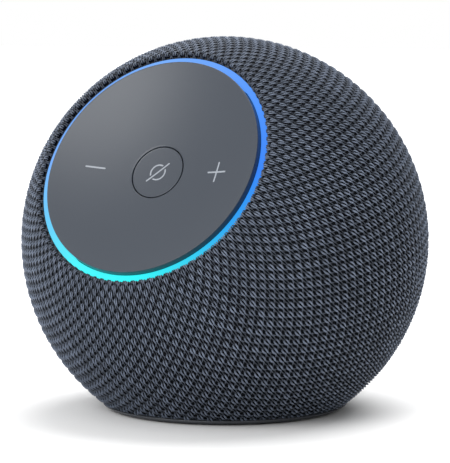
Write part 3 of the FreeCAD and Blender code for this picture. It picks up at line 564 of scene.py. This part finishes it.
@dataclass(frozen=True)
class CircuitBoard(Finish):
    """Solder resist with copper tracks showing through as paler lines."""

    track: Colour = (0.03, 0.2, 0.07)

    def material(self) -> bpy.types.Material:
        """Build the material: cell edges of a square-metric pattern are the tracks."""
        made, graph, shader, at = self.start()
        cells = graph.add("TexVoronoi", {"feature": "F1", "distance": "CHEBYCHEV"}, Vector=at,
                          Scale=420.0, Randomness=0.6).outputs["Distance"]
        wide = graph.math("PINGPONG", graph.math("MULTIPLY", cells, 6.0), 0.5)
        mask = graph.math("GREATER_THAN", wide, 0.36)
        colour = graph.mix(mask, (*self.colour, 1.0), (*self.track, 1.0))
        grain = self.group(graph, GRAIN, at, colour, Pits=2500.0, Amount=0.15, Gloss=0.3)
        self.feed(graph, shader, grain.outputs["Colour"], grain.outputs["Roughness"],
                  graph.bump(0.3, 0.00004, mask))
        return made


@dataclass(frozen=True)
class Cloth(Finish):
    """Woven or pulp sheet: two crossed wave patterns over soft noise."""

    pitch: float = 2600.0
    depth: float = 0.00006
    gloss: float = 0.85

    def material(self) -> bpy.types.Material:
        """Build the material: height is the larger of two crossed waves."""
        made, graph, shader, at = self.start()
        warp, weft = (graph.add("TexWave", {"bands_direction": way}, Vector=at,
                                Scale=self.pitch / 20.0).outputs[0] for way in "XZ")
        weave = graph.math("MAXIMUM", warp, weft)
        grain = self.group(graph, GRAIN, at, self.colour, Pits=2000.0, Amount=0.3, Gloss=self.gloss)
        self.feed(graph, shader, grain.outputs["Colour"], grain.outputs["Roughness"],
                  graph.bump(0.4, self.depth, weave))
        return made


@dataclass(frozen=True)
class Winding(Finish):
    """Enamelled wire wound in rings about an axis."""

    along: Tuple[float, float, float] = (0.0, 0.0, 1.0)
    pitch: float = 0.16 * MM

    def material(self) -> bpy.types.Material:
        """Build the material: a sine of the distance along the axis."""
        made, graph, shader, at = self.start()
        phase = graph.math("MULTIPLY", graph.dot(at, self.along), 2 * math.pi / self.pitch)
        turns = graph.math("SINE", phase)
        grain = self.group(graph, GRAIN, at, self.colour, Pits=1800.0, Amount=0.2, Gloss=0.28)
        self.feed(graph, shader, grain.outputs["Colour"], grain.outputs["Roughness"],
                  graph.bump(0.8, 0.00004, turns))
        shader.inputs["Metallic"].default_value = 0.9
        return made


@dataclass(frozen=True)
class Yarn(Finish):
    """Twisted yarn: diagonal ply lines, and a colour ramp set by each stitch's tone and painted shade."""

    # Dark end of the colour ramp, reached by dark stitch tones and by painted shade.
    dark_tone_and_shade: Colour = (0.005, 0.007, 0.010)
    ply: float = 0.3
    sheen: float = 0.03

    def material(self) -> bpy.types.Material:
        """Build the material: the ply line is sin 2 pi (run / ply + turn) of the strand."""
        made, graph, shader, at = self.start()
        uv = graph.add("UVMap", {"uv_map": "yarn"}).outputs[0]
        run, turn = graph.add("SeparateXYZ", None, Vector=uv).outputs[0:2]
        phase = graph.math("ADD", graph.math("DIVIDE", run, self.ply), turn)
        ply = graph.math("SINE", graph.math("MULTIPLY", phase, 2 * math.pi))
        fluff = graph.noise(2600.0, 3.0, at)
        # The shade attribute holds each stitch's random tone times painted shade for deep yarn and the lip.
        strand = graph.add("Attribute", {"attribute_name": "shade"}).outputs["Fac"]
        tone = graph.math("ADD", graph.math("MULTIPLY", ply, 0.10), graph.centred(fluff, 0.5))
        colour = graph.ramp(graph.math("ADD", tone, strand), [(0.0, self.dark_tone_and_shade), (1.0, self.colour)])
        rough = graph.math("ADD", 0.57, graph.math("MULTIPLY", fluff, 0.1))
        height = graph.math("ADD", graph.math("MULTIPLY", ply, 0.5), fluff)
        self.feed(graph, shader, colour, rough, graph.bump(0.6, 0.00005, height))
        shader.inputs["Sheen Weight"].default_value = self.sheen
        shader.inputs["Sheen Roughness"].default_value = 0.4
        shader.inputs["Specular IOR Level"].default_value = 0.25
        return made


@dataclass(frozen=True)
class Glow(Finish):
    """Lit ring whose colour runs round the face."""

    axis: Optional[Axis] = None
    stops: Tuple[Tuple[float, Colour], ...] = ()
    strength: float = 1.0

    def material(self) -> bpy.types.Material:
        """Build the material: angle = atan2(rise, across) about the face axis, mapped to 0..1."""
        made, graph, shader, at = self.start()
        middle = graph.add("VectorMath", {"operation": "SUBTRACT"}, i0=at,
                           i1=tuple(self.axis.origin)).outputs[0]
        angle = graph.math("ARCTAN2", graph.dot(middle, self.axis.rise),
                           graph.dot(middle, self.axis.across))
        turn = graph.math("ADD", graph.math("DIVIDE", angle, 2 * math.pi), 0.5)
        colour = graph.ramp(turn, self.stops)
        soft = graph.math("ADD", graph.math("MULTIPLY", graph.noise(160.0, 2.0, at), 0.1), 0.95)
        graph.set(shader.inputs["Emission Color"], graph.scaled(colour, soft))
        shader.inputs["Emission Strength"].default_value = self.strength
        grain = self.group(graph, GRAIN, at, self.colour, Pits=2500.0, Amount=0.2, Gloss=0.6)
        self.feed(graph, shader, grain.outputs["Colour"], grain.outputs["Roughness"],
                  graph.bump(0.2, 0.00001, grain.outputs["Height"]))
        shader.inputs["Specular IOR Level"].default_value = 0.1
        return made


def srgb(red: float, green: float, blue: float) -> Colour:
    """A screen colour from 0 to 255 as linear light."""
    value = np.array([red, green, blue]) / 255
    linear = np.where(value <= 0.04045, value / 12.92, ((value + 0.055) / 1.055) ** 2.4)
    return tuple(float(x) for x in linear)


# ---- knitted sleeve

@dataclass(frozen=True)
class SleeveProfile:
    """The sleeve's outer surface by the distance s along its meridian.

    s = 0 is where the lip meets the ball, s > 0 runs over the ball away from the face, and s < 0
    rolls over the round lip and down the inner wall.
    """

    body: Body
    lip: float = 1.25 * MM
    lip_height: float = 41.5 * MM

    @property
    def lip_radius(self) -> float:
        """Distance of the lip's centre from the face axis."""
        return math.sqrt((self.body.radius - self.lip) ** 2 - self.lip_height ** 2)

    @property
    def start_angle(self) -> float:
        """Polar angle where the lip meets the ball."""
        return math.atan2(self.lip_radius, self.lip_height)

    @property
    def lip_length(self) -> float:
        """Length of the lip's arc."""
        return self.lip * (self.start_angle + math.pi / 2)

    def at(self, s: Array) -> FourArrays:
        """Radius and height from the face axis, and the outward direction in that plane.

        Args:
            s: distances along the meridian.

        Returns:
            Radius, height, and the normal's radial and axial parts.
        """
        ball = self.start_angle + s / self.body.radius
        lip = np.maximum(self.start_angle + s / self.lip, -math.pi / 2)
        angle = np.where(s >= 0, ball, lip)
        reach = np.where(s >= 0, self.body.radius, self.lip)
        base_r = np.where(s >= 0, 0.0, self.lip_radius)
        base_h = np.where(s >= 0, 0.0, self.lip_height)
        down = np.minimum(s + self.lip_length, 0.0)
        return (base_r + reach * np.sin(angle), base_h + reach * np.cos(angle) + down,
                np.sin(angle), np.cos(angle))

    def point(self, s: Array, turn: Array, height: Array) -> Tuple[Array, Array]:
        """A point of the sleeve and its outward direction.

        Args:
            s: distance along the meridian.
            turn: angle about the face axis.
            height: distance above the surface.

        Returns:
            Points and directions in the part's frame.
        """
        r, h, nr, nh = self.at(s)
        reach = r + height * nr
        local = np.stack(np.broadcast_arrays(reach * np.cos(turn), reach * np.sin(turn),
                                             h + height * nh), axis=-1)
        out = np.stack(np.broadcast_arrays(nr * np.cos(turn), nr * np.sin(turn), nh), axis=-1)
        face = self.body.face
        return face.place(local), out @ face.basis


@dataclass
class Knit:
    """The sleeve: staggered loops of yarn over a backing painted near black as shade."""

    body: Body
    wales: int = 88
    course: float = 1.8 * MM
    wale: float = 3.88 * MM
    first: float = -2.9 * MM
    last_angle: float = 172.0
    halve_at: Tuple[float, float] = (150.0, 164.5)
    backing_depth: float = 0.78 * MM
    backing_thick: float = 0.4 * MM
    backing_tuck: float = 0.9 * MM
    backing_turns: int = 240
    bands: int = 8
    hem: float = 1.56 * MM
    lowest: float = 0.4 * MM
    wander: float = 0.03 * MM
    crowd: float = 0.15
    port_skip: float = 7.5 * MM
    port_collar: float = 9.3 * MM
    port_hole: float = 8.6 * MM
    uneven: float = 0.04
    # Painted shade: deeper yarn is darkened in its colour, at this rate per millimetre, down to the floor value.
    depth_shade_rate: float = 2.3
    depth_shade_from: float = 0.26
    depth_shade_floor: float = 0.22
    # Painted shade: yarn over the round lip and down the inner wall is darkened in its colour.
    lip_shade_rate: float = 0.6
    lip_shade_floor: float = 0.3
    seed: int = 7
    profile: SleeveProfile = field(init=False)

    LEG = np.array([
        (0.34, -0.98, -0.76, 0.15), (0.45, -0.66, -0.37, 0.23), (0.50, -0.18, -0.25, 0.265),
        (0.44, 0.28, -0.25, 0.265), (0.32, 0.62, -0.30, 0.24), (0.33, 0.92, -0.40, 0.205),
        (0.42, 1.22, -0.46, 0.195), (0.46, 1.60, -0.52, 0.18), (0.40, 2.02, -0.58, 0.15),
        (0.27, 2.45, -0.58, 0.15), (0.19, 2.82, -0.56, 0.15), (0.18, 3.22, -0.70, 0.14)]) * MM
    LINK = np.array([
        (0.60, 1.28, -0.50, 0.16), (0.84, 1.72, -0.55, 0.15), (1.14, 2.02, -0.60, 0.14),
        (1.50, 2.26, -0.76, 0.12)]) * MM

    def __post_init__(self) -> None:
        """Work out the sleeve's profile."""
        self.profile = SleeveProfile(self.body)

    def stitches(self) -> Tuple[Array, Array, Array]:
        """Places of all stitches.

        Returns:
            Each stitch's distance along the meridian, turn and column width in radians.
        """
        radius = self.body.radius
        end = (math.radians(self.last_angle) - self.profile.start_angle) * radius
        rows = np.arange(int((end - self.first) / self.course))
        s = self.first + rows * self.course
        polar = np.degrees(self.profile.start_angle + np.maximum(s, 0) / radius)
        many = self.wales / 2.0 ** (polar[:, None] > np.array(self.halve_at)).sum(1)
        parts = []
        for row, x, n in zip(rows, s, many.astype(int)):
            turn = (np.arange(n) + 0.5 * (row % 2)) * 2 * math.pi / n
            parts.append(np.stack([np.full(n, x), turn, np.full(n, 2 * math.pi / n)], axis=-1))
        return tuple(np.vstack(parts).T)

    def yarn(self, shape: Array, side: int, s: Array, turn: Array, pitch: Array,
             rng: np.random.Generator) -> FourArrays:
        """Lay one strand shape at every stitch.

        Args:
            shape: rows of sideways place, place along the column, height and radius.
            side: 1 or -1, which half of the stitch.
            s: stitch distances along the meridian.
            turn: stitch turns.
            pitch: column width in radians at each stitch.
            rng: source of small irregularities.

        Returns:
            Centre lines, outward directions, radii and painted shade for each point: darker for deeper yarn and on
            the lip.
        """
        wobble = rng.normal(0.0, self.wander, (3, len(s), 1))
        across = side * (shape[:, 0] + wobble[0]) / self.wale * pitch[:, None]
        along = s[:, None] + shape[:, 1] + wobble[1]
        end = -self.profile.lip_length
        along = np.where(along < end, end + self.crowd * (along - end), along)
        line, lift = self.profile.point(along, turn[:, None] + across,
                                        shape[:, 2] + wobble[2] * 0.5)
        r = self.profile.at(s)[0]
        tight = np.clip(r * pitch / self.wale, 0.4, 1.1) ** 0.6
        wide = shape[:, 3] * tight[:, None] * (1 + rng.normal(0.0, self.uneven, (len(s), 1)))
        # Painted shade: darker the deeper the yarn lies below the surface.
        depth_shade = np.clip(1.0 + self.depth_shade_rate * (shape[:, 2] / MM + self.depth_shade_from), self.depth_shade_floor, 1.0)
        # Painted shade: darker along the lip, down towards the light ring.
        lip_shade = np.clip(1.0 + self.lip_shade_rate * along / self.profile.lip_length,
                         self.lip_shade_floor, 1.0)
        return line, lift, wide, depth_shade * lip_shade

    def trim(self, points: Array) -> Array:
        """Lift yarn to the hem, and move it out over the ball to the collar of the inlet."""
        out = points.copy()
        out[..., 2] = np.maximum(out[..., 2], self.hem)
        port = self.body.port
        dx, dz = out[..., 0] - port[0], out[..., 2] - port[2]
        far = np.hypot(dx, dz)
        behind = (out[..., 1] > BACK) & (far < self.port_collar)
        push = np.where(behind, self.port_collar / np.maximum(far, 1e-6), 1.0)
        reach = np.linalg.norm(out - self.body.centre, axis=-1)
        out[..., 0] = port[0] + dx * push
        out[..., 2] = port[2] + dz * push
        flat = np.hypot(out[..., 0] - self.body.centre[0], out[..., 2] - self.body.centre[2])
        depth = self.body.centre[1] + np.sqrt(np.maximum(reach ** 2 - flat ** 2, 0.0))
        out[..., 1] = np.where(push > 1.0, depth, out[..., 1])
        return out

    def build(self) -> List[bpy.types.Object]:
        """Make the bands of stitches and the backing.

        Returns:
            The pieces, the backing last.
        """
        rng = np.random.default_rng(self.seed)
        s, turn, pitch = self.stitches()
        at, _ = self.profile.point(s, turn, np.zeros_like(s))
        off_port = np.hypot(at[:, 0] - self.body.port[0], at[:, 2] - self.body.port[2])
        keep = (at[:, 2] > self.lowest) & ~((at[:, 1] > BACK) & (off_port < self.port_skip))
        s, turn, pitch = s[keep], turn[keep], pitch[keep]
        shade = np.clip(rng.normal(0.62, 0.07, len(s)), 0.4, 0.85)
        cuts = np.linspace(0, len(s), self.bands + 1).astype(int)
        made = []
        yarn = Yarn("knit_yarn", (0.185, 0.222, 0.298)).material()
        for band, (a, b) in enumerate(zip(cuts[:-1], cuts[1:])):
            pick = slice(a, b)
            parts = []
            for shape in (self.LEG, self.LINK):
                for side in (-1, 1):
                    line, lift, wide, painted_shade = self.yarn(shape, side, s[pick], turn[pick],
                                                      pitch[pick], rng)
                    # The shade attribute: each stitch's random tone times the painted shade.
                    parts.append(strands(self.trim(line), lift, wide, shade[pick, None] * painted_shade))
            points, quads, uv, value = self.stack(parts)
            piece = mesh_object(f"knit_band_{band + 1}", points, quads, uv, value)
            piece.data.materials.append(yarn)
            made.append(piece)
        made.append(self.backing())
        return made

    @staticmethod
    def stack(parts: Sequence[FourArrays]) -> FourArrays:
        """Join several sets of strands into one set of arrays."""
        points, quads, uv, value = zip(*parts)
        starts = np.cumsum([0] + [len(p) for p in points[:-1]])
        return (np.vstack(points), np.vstack([q + k for q, k in zip(quads, starts)]),
                np.vstack(uv), np.concatenate(value))

    def backing(self) -> bpy.types.Object:
        """The thin layer under the loops, near black as painted shade: the sleeve's profile lowered by the backing
        depth.

        Each ray from the face axis runs to the far pole; points below the hem slide down their own
        direction from the ball's centre until they sit on the hem plane.

        Returns:
            The closed piece.
        """
        turns = self.backing_turns
        end = (math.pi - self.profile.start_angle) * self.body.radius
        s = np.concatenate([np.linspace(-self.profile.lip_length - self.backing_tuck, 0, 24),
                            np.linspace(1.0 * MM, end, 150)])
        turn = np.linspace(0, 2 * math.pi, turns, endpoint=False)
        layers = []
        for depth in (self.backing_depth, self.backing_depth + self.backing_thick):
            points, _ = self.profile.point(s[:, None], turn[None], -depth)
            layers.append(self.flatten(points))
        outer, inner = layers
        points = np.vstack([outer, inner[::-1], outer[:1]])
        piece = mesh_object("knit_backing", points.reshape(-1, 3),
                            grid_quads(len(points), turns, True))
        close_up(piece)
        self.cut_port(piece)
        # Near-black colour: painted shade seen through the holes between the loops.
        backing_shade = Moulded("knit_ground", (0.005, 0.006, 0.008), gloss=0.9, pits=2500.0, depth=0.0001,
                         amount=0.5, specular=0.05, dust=0.0)
        piece.data.materials.append(backing_shade.material())
        return piece

    def flatten(self, points: Array) -> Array:
        """Slide points below the hem plane towards the ball's centre line until they lie on it."""
        centre = self.body.centre
        ray = points - centre
        low = points[..., 2] < self.hem
        share = np.where(low, (self.hem - centre[2]) / np.where(low, ray[..., 2], -1.0), 1.0)
        return centre + ray * share[..., None]

    def cut_port(self, piece: bpy.types.Object) -> None:
        """Open the backing for the inlet's bezel and join the two rims that this leaves."""
        port = self.body.port
        with reworked(piece) as work:
            inside = [v for v in work.verts if v.co.y > BACK
                      and math.hypot(v.co.x - port[0], v.co.z - port[2]) < self.port_hole]
            bmesh.ops.delete(work, geom=inside, context="VERTS")
            bmesh.ops.bridge_loops(work, edges=[e for e in work.edges if e.is_boundary])


# ---- control face

@dataclass
class ControlFace:
    """The dished plate, its button and legends, and the light ring round them."""

    body: Body
    dish: float = 110.0 * MM
    centre_height: float = 38.7 * MM
    plate_radius: float = 30.1 * MM
    thick: float = 1.8 * MM
    skirt: float = 40.2 * MM
    edge: float = 0.12 * MM
    soft: float = 0.16 * MM
    bevel: float = 0.1 * MM
    wall: float = 1.2 * MM
    hole: float = 7.4 * MM
    button: float = 7.15 * MM
    ring_outer: float = 32.0 * MM
    ring_inner: float = 30.35 * MM
    ring_top: float = 41.5 * MM
    ring_bottom: float = 35.8 * MM

    def surface(self, r: Array, lower: float = 0.0) -> Array:
        """Height of the dish: centre + R - sqrt(R^2 - r^2), R growing by how far below it is."""
        big = self.dish + lower
        return self.centre_height + self.dish - np.sqrt(big ** 2 - r ** 2)

    def plate(self) -> bpy.types.Object:
        """The plate: dish, chamfered rim, skirt and underside in one closed outline.

        Returns:
            The piece.
        """
        rim = self.plate_radius
        top_r = np.linspace(self.hole + self.soft, rim - self.edge, 60)
        top = np.stack([top_r, self.surface(top_r)], axis=-1)
        rim_height = float(self.surface(np.array(rim - self.edge)))
        outer = corner((rim - self.edge, rim_height - self.edge), self.edge, 84, 0)
        wall = np.array([(rim, self.skirt + self.bevel), (rim - self.bevel, self.skirt),
                         (rim - self.wall, self.skirt)])
        low_r = np.linspace(rim - self.wall, self.hole, 30)
        low = np.stack([low_r, self.surface(low_r, self.thick)], axis=-1)
        lip_height = float(self.surface(np.array(self.hole)))
        inner = corner((self.hole + self.soft, lip_height - self.soft), self.soft, 180, 96)
        return lathe("face_plate_dished", self.body.face,
                     np.vstack([top, outer, wall, low, inner]))

    def mute(self) -> bpy.types.Object:
        """The button's cap: the same dish inside the slot, with a rounded edge.

        Returns:
            The piece.
        """
        rim, soft = self.button, self.soft
        top_r = np.linspace(0.0, rim - soft, 24)
        top = np.stack([top_r, self.surface(top_r)], axis=-1)
        edge_height = float(self.surface(np.array(rim)))
        outer = corner((rim - soft, edge_height - soft), soft, 84, 0)
        low_r = np.linspace(rim, 0.0, 12)
        low = np.stack([low_r, self.surface(low_r, self.thick)], axis=-1)
        return lathe("mute_button_cap", self.body.face, np.vstack([top, outer, low]), 128)

    def ring(self) -> bpy.types.Object:
        """The light guide: a tube with a softly crowned top.

        Returns:
            The piece.
        """
        soft = 0.3 * MM
        outer = corner((self.ring_outer - soft, self.ring_top - soft), soft, 0, 90)
        inner = corner((self.ring_inner + soft, self.ring_top - soft), soft, 90, 180)
        foot = np.array([(self.ring_inner, self.ring_bottom), (self.ring_outer, self.ring_bottom)])
        return lathe("light_ring_guide", self.body.face, np.vstack([outer, inner, foot]))


# ---- foot

@dataclass
class Foot:
    """The hard ring that shows below the knit."""

    body: Body
    low: float = 0.4 * MM
    high: float = 1.5 * MM
    soft: float = 0.3 * MM

    def ring(self) -> bpy.types.Object:
        """The ring: it follows the ball at its top and tucks in with a rounded lower edge.

        Returns:
            The piece.
        """
        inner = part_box("foot_pad")[1].x
        top, base = (math.sqrt(self.body.radius ** 2 - (self.body.centre[2] - z) ** 2)
                     for z in (self.high, self.low))
        lower = corner((base - self.soft * 0.4, self.low + self.soft), self.soft, -90, -10)
        upper = corner((top - self.soft * 1.05, self.high - self.soft), self.soft, 0, 90)
        foot = np.array([(inner, self.high), (inner, self.low)])
        axis = Axis.through(np.zeros(3), (0.0, 0.0, 1.0))
        return lathe("base_ring_rounded", axis, np.vstack([lower, upper, foot]), 200)


# ---- woofer

@dataclass
class Suspension:
    """The woofer's centring cloth, cupped so that the cone has room at its lowest."""

    body: Body
    inner: float = 7.1 * MM
    shelf: float = 15.0 * MM
    outer: float = 16.6 * MM
    low: float = 22.25 * MM
    high: float = 24.05 * MM
    roll: float = 0.18 * MM
    thick: float = 0.35 * MM

    def spider(self) -> bpy.types.Object:
        """The cloth: height = low + (high - low) t - roll sin(6 pi t), t from hub to shelf.

        Returns:
            The piece.
        """
        t = np.linspace(0.0, 1.0, 49)
        height = self.low + (self.high - self.low) * t - self.roll * np.sin(6 * math.pi * t)
        under = np.stack([self.inner + (self.shelf - self.inner) * t, height], axis=-1)
        under = np.vstack([under, (self.outer, self.high)])
        over = under + (0.0, self.thick)
        return lathe("woofer_spider_cupped", self.body.woofer, np.vstack([over, under[::-1]]), 160)


# ---- assembly

@dataclass
class Speaker:
    """Puts the new pieces on their bodies and gives every carried-over node its finish."""

    body: Body

    def settle(self, piece: bpy.types.Object, rides: str, slot: str, *nodes: str) -> None:
        """Give a piece its body and hide the nodes it stands for.

        Args:
            piece: the new piece.
            rides: the body it moves with.
            slot: the record's material slot; not used.
            nodes: nodes it stands for.
        """
        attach(piece, rides)
        if nodes:
            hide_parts(*nodes)
        LOG.info("%s: %d faces, rides on %s", piece.name, len(piece.data.polygons), rides)

    def finishes(self) -> List[Finish]:
        """The finish of each material slot, named after it.

        Returns:
            The finishes.
        """
        firing = tuple(float(x) for x in self.body.woofer.along)
        return [
            Moulded("knit", srgb(60, 64, 70), gloss=0.9),
            Moulded("black_plastic", (0.014, 0.015, 0.017), gloss=0.42, dust=0.05),
            Moulded("shell_plastic", (0.03, 0.03, 0.033), gloss=0.55),
            Moulded("rim_plastic", (0.03, 0.034, 0.042), gloss=0.4),
            Moulded("rubber_pad", (0.02, 0.02, 0.022), gloss=0.8, pits=1500.0, depth=0.00008),
            Moulded("seal_foam", (0.025, 0.025, 0.025), gloss=0.95, pits=900.0, depth=0.0002),
            Moulded("face_plastic", (0.022, 0.029, 0.041), gloss=0.38, pits=5200.0, depth=0.000006,
                    amount=0.05, dust=0.0),
            Moulded("legend_ink", (0.22, 0.24, 0.27), gloss=0.4, amount=0.03, dust=0.0),
            Moulded("led_white", (0.8, 0.78, 0.6), gloss=0.3),
            CircuitBoard("board", (0.008, 0.07, 0.03)),
            BareMetal.of("steel", Metal.STEEL),
            BareMetal.of("can_steel", Metal.TIN, 0.25),
            BareMetal.of("cast_aluminium", Metal.ALUMINIUM, 0.5),
            Winding("copper_wire", Metal.COPPER.value, firing),
            BareMetal.of("pin_metal", Metal.NICKEL, 0.15),
            Moulded("ferrite", (0.05, 0.05, 0.054), gloss=0.7, pits=1200.0, depth=0.00005),
            Cloth("cone_paper", (0.028, 0.028, 0.03), 1800.0),
            Moulded("surround_rubber", (0.02, 0.02, 0.022), gloss=0.45),
            Cloth("spider_cloth", (0.55, 0.36, 0.12), 2600.0),
            Cloth("dome_silk", (0.03, 0.03, 0.03), 5200.0),
            BareMetal.of("tin_tag", Metal.TINNED_BRASS, 0.3),
            Moulded("cable", (0.7, 0.7, 0.66), gloss=0.3),
            Moulded("wire_red", (0.45, 0.02, 0.015), gloss=0.35),
            Moulded("thermal", (0.3, 0.36, 0.5), gloss=0.8),
            BareMetal.of("cap_sleeve", Metal.ALUMINIUM, 0.3),
            Moulded("connector_white", (0.7, 0.68, 0.6), gloss=0.45),
            self.glow(),
        ]

    def dress(self, made: Dict[str, bpy.types.Material]) -> None:
        """Give every carried-over node the material of its slot.

        Args:
            made: materials by slot name.
        """
        for entry in frame["record"]["subparts"]:
            node = frame["nodes"][entry["node"]]
            if entry["material_slot"] in made:
                node.data.materials.clear()
                node.data.materials.append(made[entry["material_slot"]])

    def build(self) -> None:
        """Make the sleeve, the face and the foot, then dress everything."""
        made = {finish.name: finish.material() for finish in self.finishes()}
        self.dress(made)
        knit = Knit(self.body)
        *bands, backing = knit.build()
        for band in bands:
            self.settle(band, "speaker", "knit")
        self.settle(backing, "speaker", "knit", "knit_sleeve")
        control = ControlFace(self.body)
        for piece, rides, slot, node in (
                (control.plate(), "face", "face_plastic", "face_plate"),
                (control.mute(), "mute", "face_plastic", "mute_button"),
                (control.ring(), "speaker", "light_guide", "light_ring"),
                (Foot(self.body).ring(), "speaker", "rim_plastic", "base_ring"),
                (Suspension(self.body).spider(), "speaker", "spider_cloth", "woofer_spider")):
            piece.data.materials.append(made[slot])
            self.settle(piece, rides, slot, node)

    def glow(self) -> Glow:
        """The ring's colours by turn, from the face's left round the bottom and over the top."""
        stops = (
            (0.00, srgb(120, 176, 250)), (0.10, srgb(103, 208, 250)), (0.18, srgb(72, 248, 252)),
            (0.27, srgb(45, 250, 250)), (0.34, srgb(44, 215, 240)), (0.42, srgb(36, 160, 240)),
            (0.50, srgb(48, 128, 244)), (0.60, srgb(76, 146, 250)), (0.70, srgb(104, 162, 252)),
            (0.80, srgb(120, 175, 252)), (0.90, srgb(112, 160, 232)), (1.00, srgb(120, 176, 250)))
        return Glow("light_guide", (0.004, 0.010, 0.02), self.body.face, stops, 1.0)


# ---- studio

@dataclass
class Studio:
    """Pale floor, soft lights and the camera."""

    body: Body
    azimuth: float = 31.0
    elevation: float = 5.4
    distance: float = 0.634
    aim_above: float = 2.25 * MM
    lens: float = 184.4
    shaded: float = 0.2
    floor_reach: float = 6.0

    def floor(self) -> None:
        """A wide pale floor."""
        corners = self.floor_reach * np.array([(-1.0, -1, 0), (1, -1, 0), (1, 1, 0), (-1, 1, 0)])
        plane = mesh_object("floor", corners, np.array([[0, 1, 2, 3]]))
        made = bpy.data.materials.new("pale_floor")
        made.use_nodes = True
        shader = made.node_tree.nodes["Principled BSDF"]
        shader.inputs["Base Color"].default_value = (0.84, 0.84, 0.84, 1.0)
        shader.inputs["Roughness"].default_value = 0.7
        plane.data.materials.append(made)

    def light(self, name: str, kind: str, azimuth: float, elevation: float, power: float,
              distance: float, **settings: float) -> None:
        """One soft light aimed at the ball's centre.

        Args:
            name: the light's name.
            kind: AREA or SUN.
            azimuth: degrees round from straight in front, positive towards +X.
            elevation: degrees above level.
            power: watts, or watts per square metre for a sun.
            distance: metres from the ball's centre, which a sun doesn't depend on.
            settings: the size of a lamp's side, or the angle that a sun covers.
        """
        data = bpy.data.lights.new(name, kind)
        data.energy = power
        for key, value in settings.items():
            setattr(data, key, value)
        back = self.direction(azimuth, elevation)
        self.place(bpy.data.objects.new(name, data), back * distance, -back)

    def place(self, thing: bpy.types.Object, offset: Vector, aim: Vector) -> None:
        """Link a light or camera at an offset from the ball's centre, looking along a direction."""
        thing.location = Vector(self.body.centre) + offset
        thing.rotation_euler = aim.to_track_quat("-Z", "Y").to_euler()
        bpy.context.scene.collection.objects.link(thing)

    @staticmethod
    def direction(azimuth: float, elevation: float) -> Vector:
        """Unit vector (sin a cos e, -cos a cos e, sin e)."""
        a, e = math.radians(azimuth), math.radians(elevation)
        return Vector((math.sin(a) * math.cos(e), -math.cos(a) * math.cos(e), math.sin(e)))

    def camera(self) -> None:
        """The camera, aimed a little above the ball's centre."""
        back = self.direction(self.azimuth, self.elevation) * self.distance
        data = bpy.data.cameras.new("camera")
        data.lens = self.lens
        data.sensor_width = 36.0
        data.clip_start = 0.01
        camera = bpy.data.objects.new("camera", data)
        self.place(camera, back, Vector((0, 0, self.aim_above)) - back)
        bpy.context.scene.camera = camera

    def sky(self) -> bpy.types.World:
        """White surroundings that light the ball less from the camera's right.

        Returns:
            The world; strength falls from 1 to the shaded value as the direction turns right.
        """
        made = bpy.data.worlds.new("studio")
        made.use_nodes = True
        graph = Graph(made.node_tree)
        toward = graph.add("TexCoord").outputs["Generated"]
        right = self.direction(self.azimuth + 115.0, 0.0)
        turned = graph.dot(toward, right)
        level = graph.add("MapRange", None, Value=turned, i1=-0.1, i2=0.9, i3=1.0,
                          i4=self.shaded).outputs[0]
        seen = graph.add("LightPath").outputs["Is Camera Ray"]
        back = made.node_tree.nodes["Background"]
        back.inputs[0].default_value = (1.0, 1.0, 1.0, 1.0)
        graph.set(back.inputs[1], graph.math("MAXIMUM", level, seen))
        return made

    def build(self) -> None:
        """Set the world, floor, lamps and camera."""
        scene = bpy.context.scene
        scene.world = self.sky()
        scene.view_settings.view_transform = "Standard"
        self.floor()
        self.light("key", "AREA", -12.0, 31.0, 4.2, 0.8, size=0.5)
        self.light("top", "SUN", 178.0, 62.0, 3.4, 1.0, angle=math.radians(55.0))
        self.camera()


def main() -> None:
    logging.basicConfig(level=logging.INFO, format="%(name)s %(message)s")
    body = Body.from_frame()
    Studio(body).build()
    Speaker(body).build()


if __name__ == "__main__":
    main()
